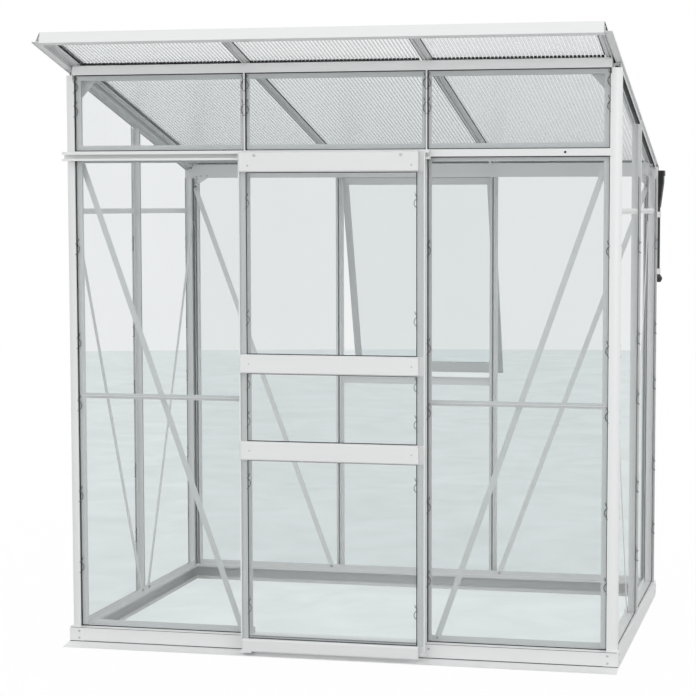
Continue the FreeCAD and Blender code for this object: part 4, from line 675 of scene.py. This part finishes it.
def beadRound(wall, across, up, inwards):
    # both upright strips, the lower one and the upper one
    (left, right), (low, high), width = across, up, bead["width"]
    strips = [
        ((left, left + width), (low, high)),
        ((right - width, right), (low, high)),
        ((left + width, right - width), (low, low + width)),
        ((left + width, right - width), (high - width, high)),
    ]
    return [wallSlab(wall, u, inwards, z) for u, z in strips]


def joined(lists):
    return [part for parts in lists for part in parts]


outerPanes = [(-post, -barOut), (barOut, post)]
allPanes = outerPanes + [(-barIn, barIn)]
sidePanes = [(-sidePost, -paneEdge["bar"]), (paneEdge["bar"], sidePost)]
frontBeads = joined(beadRound("front", pane, bead["front"], bead["wall"]) for pane in outerPanes)
frontBeads += joined(beadRound("front", pane, bead["clerestory"], bead["wall"]) for pane in allPanes)
backBeads = joined(beadRound("back", pane, bead["back"], bead["wall"]) for pane in outerPanes)
# a side pane's top runs with the slope, so it has no level strip there
sideBeads = joined(beadRound(wall, pane, bead["side"], bead["wall"])[:3]
                   for wall in ("left", "right") for pane in sidePanes)
doorBeads = joined(beadRound("front", paneEdge["door"], pane, bead["door"]) for pane in bead["doorPanes"])
piece("front_pane_beads", frontBeads, sealRubberAndShade)
piece("back_pane_beads", backBeads, sealRubberAndShade)
piece("side_pane_beads", sideBeads, sealRubberAndShade)
piece("door_pane_beads", doorBeads, sealRubberAndShade, "door")

# the bolt head under each rafter's front end
rafterBolt = {
    "down": -0.262,
    "high": -0.0120,
    "profile": [(0.0052, 0), (0.0050, 0.0012), (0.0036, 0.0026), (0.0012, 0.003)],
    "sides": 12,
}
underRoof = (0, -math.sin(slope), -math.cos(slope))
rafterBolts = [turned(rafterBolt["profile"], rafterBolt["sides"],
                      onRoof(centre, rafterBolt["down"], rafterBolt["high"]), underRoof)
               for centre in (-rafter, -bar, bar, rafter)]
piece("rafter_end_bolts", rafterBolts, palePlastic)
print("joints, beads and rafter bolts in place")


# Stage, lamps and camera

cameraSet = {
    "place": (1.6930, -6.5065, 1.5334),
    # in degrees: a little down from level, and turned to the left
    "turn": (90 - 4.629, 0.0, 12.392),
    "lens": 102.82,
    "sensor": 36.0,
    "shift": (-0.0925, 0.0282),
}
floorLook = {
    "radius": 21.4,
    "sides": 96,
    "drop": 0.0005,
    # how pale the floor is for bounced light, and how much it gains through a pane and for the camera
    "bounce": 0.62,
    "through": 0.12,
    "seen": 0.34,
    # the share of plain white that the camera sees, straight and through a pane
    "seenWhite": 0.96,
    "throughShare": 0.8,
    "throughGlow": (0.875, 0.925, 0.93),
    "roughness": 0.8,
    "marble": 0.3,
    "veins": {"scale": 2.2, "detail": 4.0, "distortion": 1.5},
}
# between no diffuse bounce and one
firstBounce = 0.5


def throughGlass(tree, path):
    # rays that come straight through the panes, without a diffuse bounce before them
    straight = mathNode(tree, "LESS_THAN", path.outputs["Diffuse Depth"], firstBounce)
    return mathNode(tree, "MULTIPLY", path.outputs["Is Transmission Ray"], straight)


def floorMaterial():
    # a soft grey for light that bounces, paler through glass, and near white where the camera sees it
    material, tree, shader = newMaterial("pale studio floor")
    path = tree.nodes.new("ShaderNodeLightPath")
    seen = path.outputs["Is Camera Ray"]
    coordinate = tree.nodes.new("ShaderNodeTexCoord")
    veins = noiseNode(tree, coordinate.outputs["Object"], **floorLook["veins"])
    through = throughGlass(tree, path)
    vein = mathNode(tree, "MULTIPLY_ADD", veins, floorLook["marble"], 1 - floorLook["marble"] / 2)
    tone = mathNode(tree, "MULTIPLY_ADD", through, floorLook["through"], floorLook["bounce"])
    tone = mathNode(tree, "MULTIPLY_ADD", seen, floorLook["seen"], tone)
    tree.links.new(tone, shader.inputs["Base Color"])
    shader.inputs["Roughness"].default_value = floorLook["roughness"]
    full = tree.nodes.new("ShaderNodeVectorMath")
    veined = mathNode(tree, "MULTIPLY", through, vein)
    tree.links.new(scaledColour(tree, floorLook["throughGlow"], veined), full.inputs[0])
    tree.links.new(seen, full.inputs[1])
    white = tree.nodes.new("ShaderNodeEmission")
    tree.links.new(full.outputs["Vector"], white.inputs["Color"])
    share = mathNode(tree, "MULTIPLY", seen, floorLook["seenWhite"])
    share = mathNode(tree, "MULTIPLY_ADD", through, floorLook["throughShare"], share)
    mix = tree.nodes.new("ShaderNodeMixShader")
    tree.links.new(share, mix.inputs["Fac"])
    tree.links.new(shader.outputs["BSDF"], mix.inputs[1])
    tree.links.new(white.outputs["Emission"], mix.inputs[2])
    tree.links.new(mix.outputs["Shader"], tree.nodes["Material Output"].inputs["Surface"])
    return material


def studioFloor():
    # round, with its middle under the camera, so that its far edge is a level line behind the panes
    turn = np.linspace(0, 2 * math.pi, floorLook["sides"], endpoint=False)
    x = cameraSet["place"][0] + floorLook["radius"] * np.cos(turn)
    y = cameraSet["place"][1] + floorLook["radius"] * np.sin(turn)
    points = np.stack([x, y, np.full_like(x, -floorLook["drop"])], -1)
    mesh = bpy.data.meshes.new("studio floor")
    mesh.from_pydata(points.tolist(), [], [list(range(len(points)))])
    mesh.materials.append(floorMaterial())
    thing = bpy.data.objects.new("studio floor", mesh)
    bpy.context.scene.collection.objects.link(thing)


# light by direction: the level, and how much it gains to the right, to the back and upwards
studio = {
    "level": 0.90,
    "gain": (0.08, -0.10, 0.14),
    "low": 0.14,
    "high": 1.1,
    # a bright sky behind the house, for glossy reflections only
    "backFrom": 0.75,
    "backGlow": 0.85,
    # light that has come in through a pane makes up for what the pane takes
    "inside": 0.22,
}


def studioWorld():
    world = bpy.data.worlds.new("studio")
    bpy.context.scene.world = world
    world.use_nodes = True
    tree = world.node_tree
    path = tree.nodes.new("ShaderNodeLightPath")
    direction = tree.nodes.new("ShaderNodeTexCoord").outputs["Generated"]
    slant = tree.nodes.new("ShaderNodeVectorMath")
    slant.operation = "DOT_PRODUCT"
    slant.inputs[1].default_value = studio["gain"]
    tree.links.new(direction, slant.inputs[0])
    glow = mathNode(tree, "ADD", slant.outputs["Value"], studio["level"])
    glow = mathNode(tree, "MAXIMUM", glow, studio["low"])
    glow = mathNode(tree, "MINIMUM", glow, studio["high"])
    split = tree.nodes.new("ShaderNodeSeparateXYZ")
    tree.links.new(direction, split.inputs["Vector"])
    behind = mathNode(tree, "GREATER_THAN", split.outputs["Y"], studio["backFrom"])
    sky = mathNode(tree, "MULTIPLY", path.outputs["Is Glossy Ray"], studio["backGlow"])
    glow = mathNode(tree, "MAXIMUM", glow, mathNode(tree, "MULTIPLY", behind, sky))
    bounced = mathNode(tree, "GREATER_THAN", path.outputs["Diffuse Depth"], firstBounce)
    inside = mathNode(tree, "MULTIPLY", path.outputs["Is Transmission Ray"], bounced)
    glow = mathNode(tree, "MULTIPLY", glow, mathNode(tree, "MULTIPLY_ADD", inside, studio["inside"], 1.0))
    plainWhite = mathNode(tree, "MAXIMUM", path.outputs["Is Camera Ray"], throughGlass(tree, path))
    rest = mathNode(tree, "MULTIPLY", glow, mathNode(tree, "SUBTRACT", 1.0, plainWhite))
    around = tree.nodes["Background"]
    around.inputs["Color"].default_value = (1, 1, 1, 1)
    tree.links.new(mathNode(tree, "ADD", rest, plainWhite), around.inputs["Strength"])


lamps = {
    "key": {"place": (7.0, -4.0, 2.5), "target": (0, 0.4, 1.1), "size": 4.5, "power": 40},
    "front": {"place": (1.2, -8.6, 1.7), "target": (0, 0, 1.2), "size": 4.0, "power": 15},
}


def softLamp(name, place, target, size, power):
    data = bpy.data.lights.new(name, "AREA")
    data.shape = "DISK"
    data.size = size
    data.energy = power
    lamp = bpy.data.objects.new(name, data)
    bpy.context.scene.collection.objects.link(lamp)
    lamp.location = place
    lamp.visible_transmission = False
    lamp.rotation_euler = (Vector(target) - Vector(place)).to_track_quat("-Z", "Y").to_euler()


def photoCamera():
    data = bpy.data.cameras.new("photo camera")
    camera = bpy.data.objects.new("photo camera", data)
    bpy.context.scene.collection.objects.link(camera)
    camera.location = cameraSet["place"]
    camera.rotation_euler = [math.radians(angle) for angle in cameraSet["turn"]]
    data.lens = cameraSet["lens"]
    data.sensor_width = cameraSet["sensor"]
    data.shift_x, data.shift_y = cameraSet["shift"]
    bpy.context.scene.camera = camera


studioFloor()
studioWorld()
for name, settings in lamps.items():
    softLamp(name, **settings)
photoCamera()
bpy.context.scene.view_settings.view_transform = "Standard"
print("stage, lamps and camera in place")
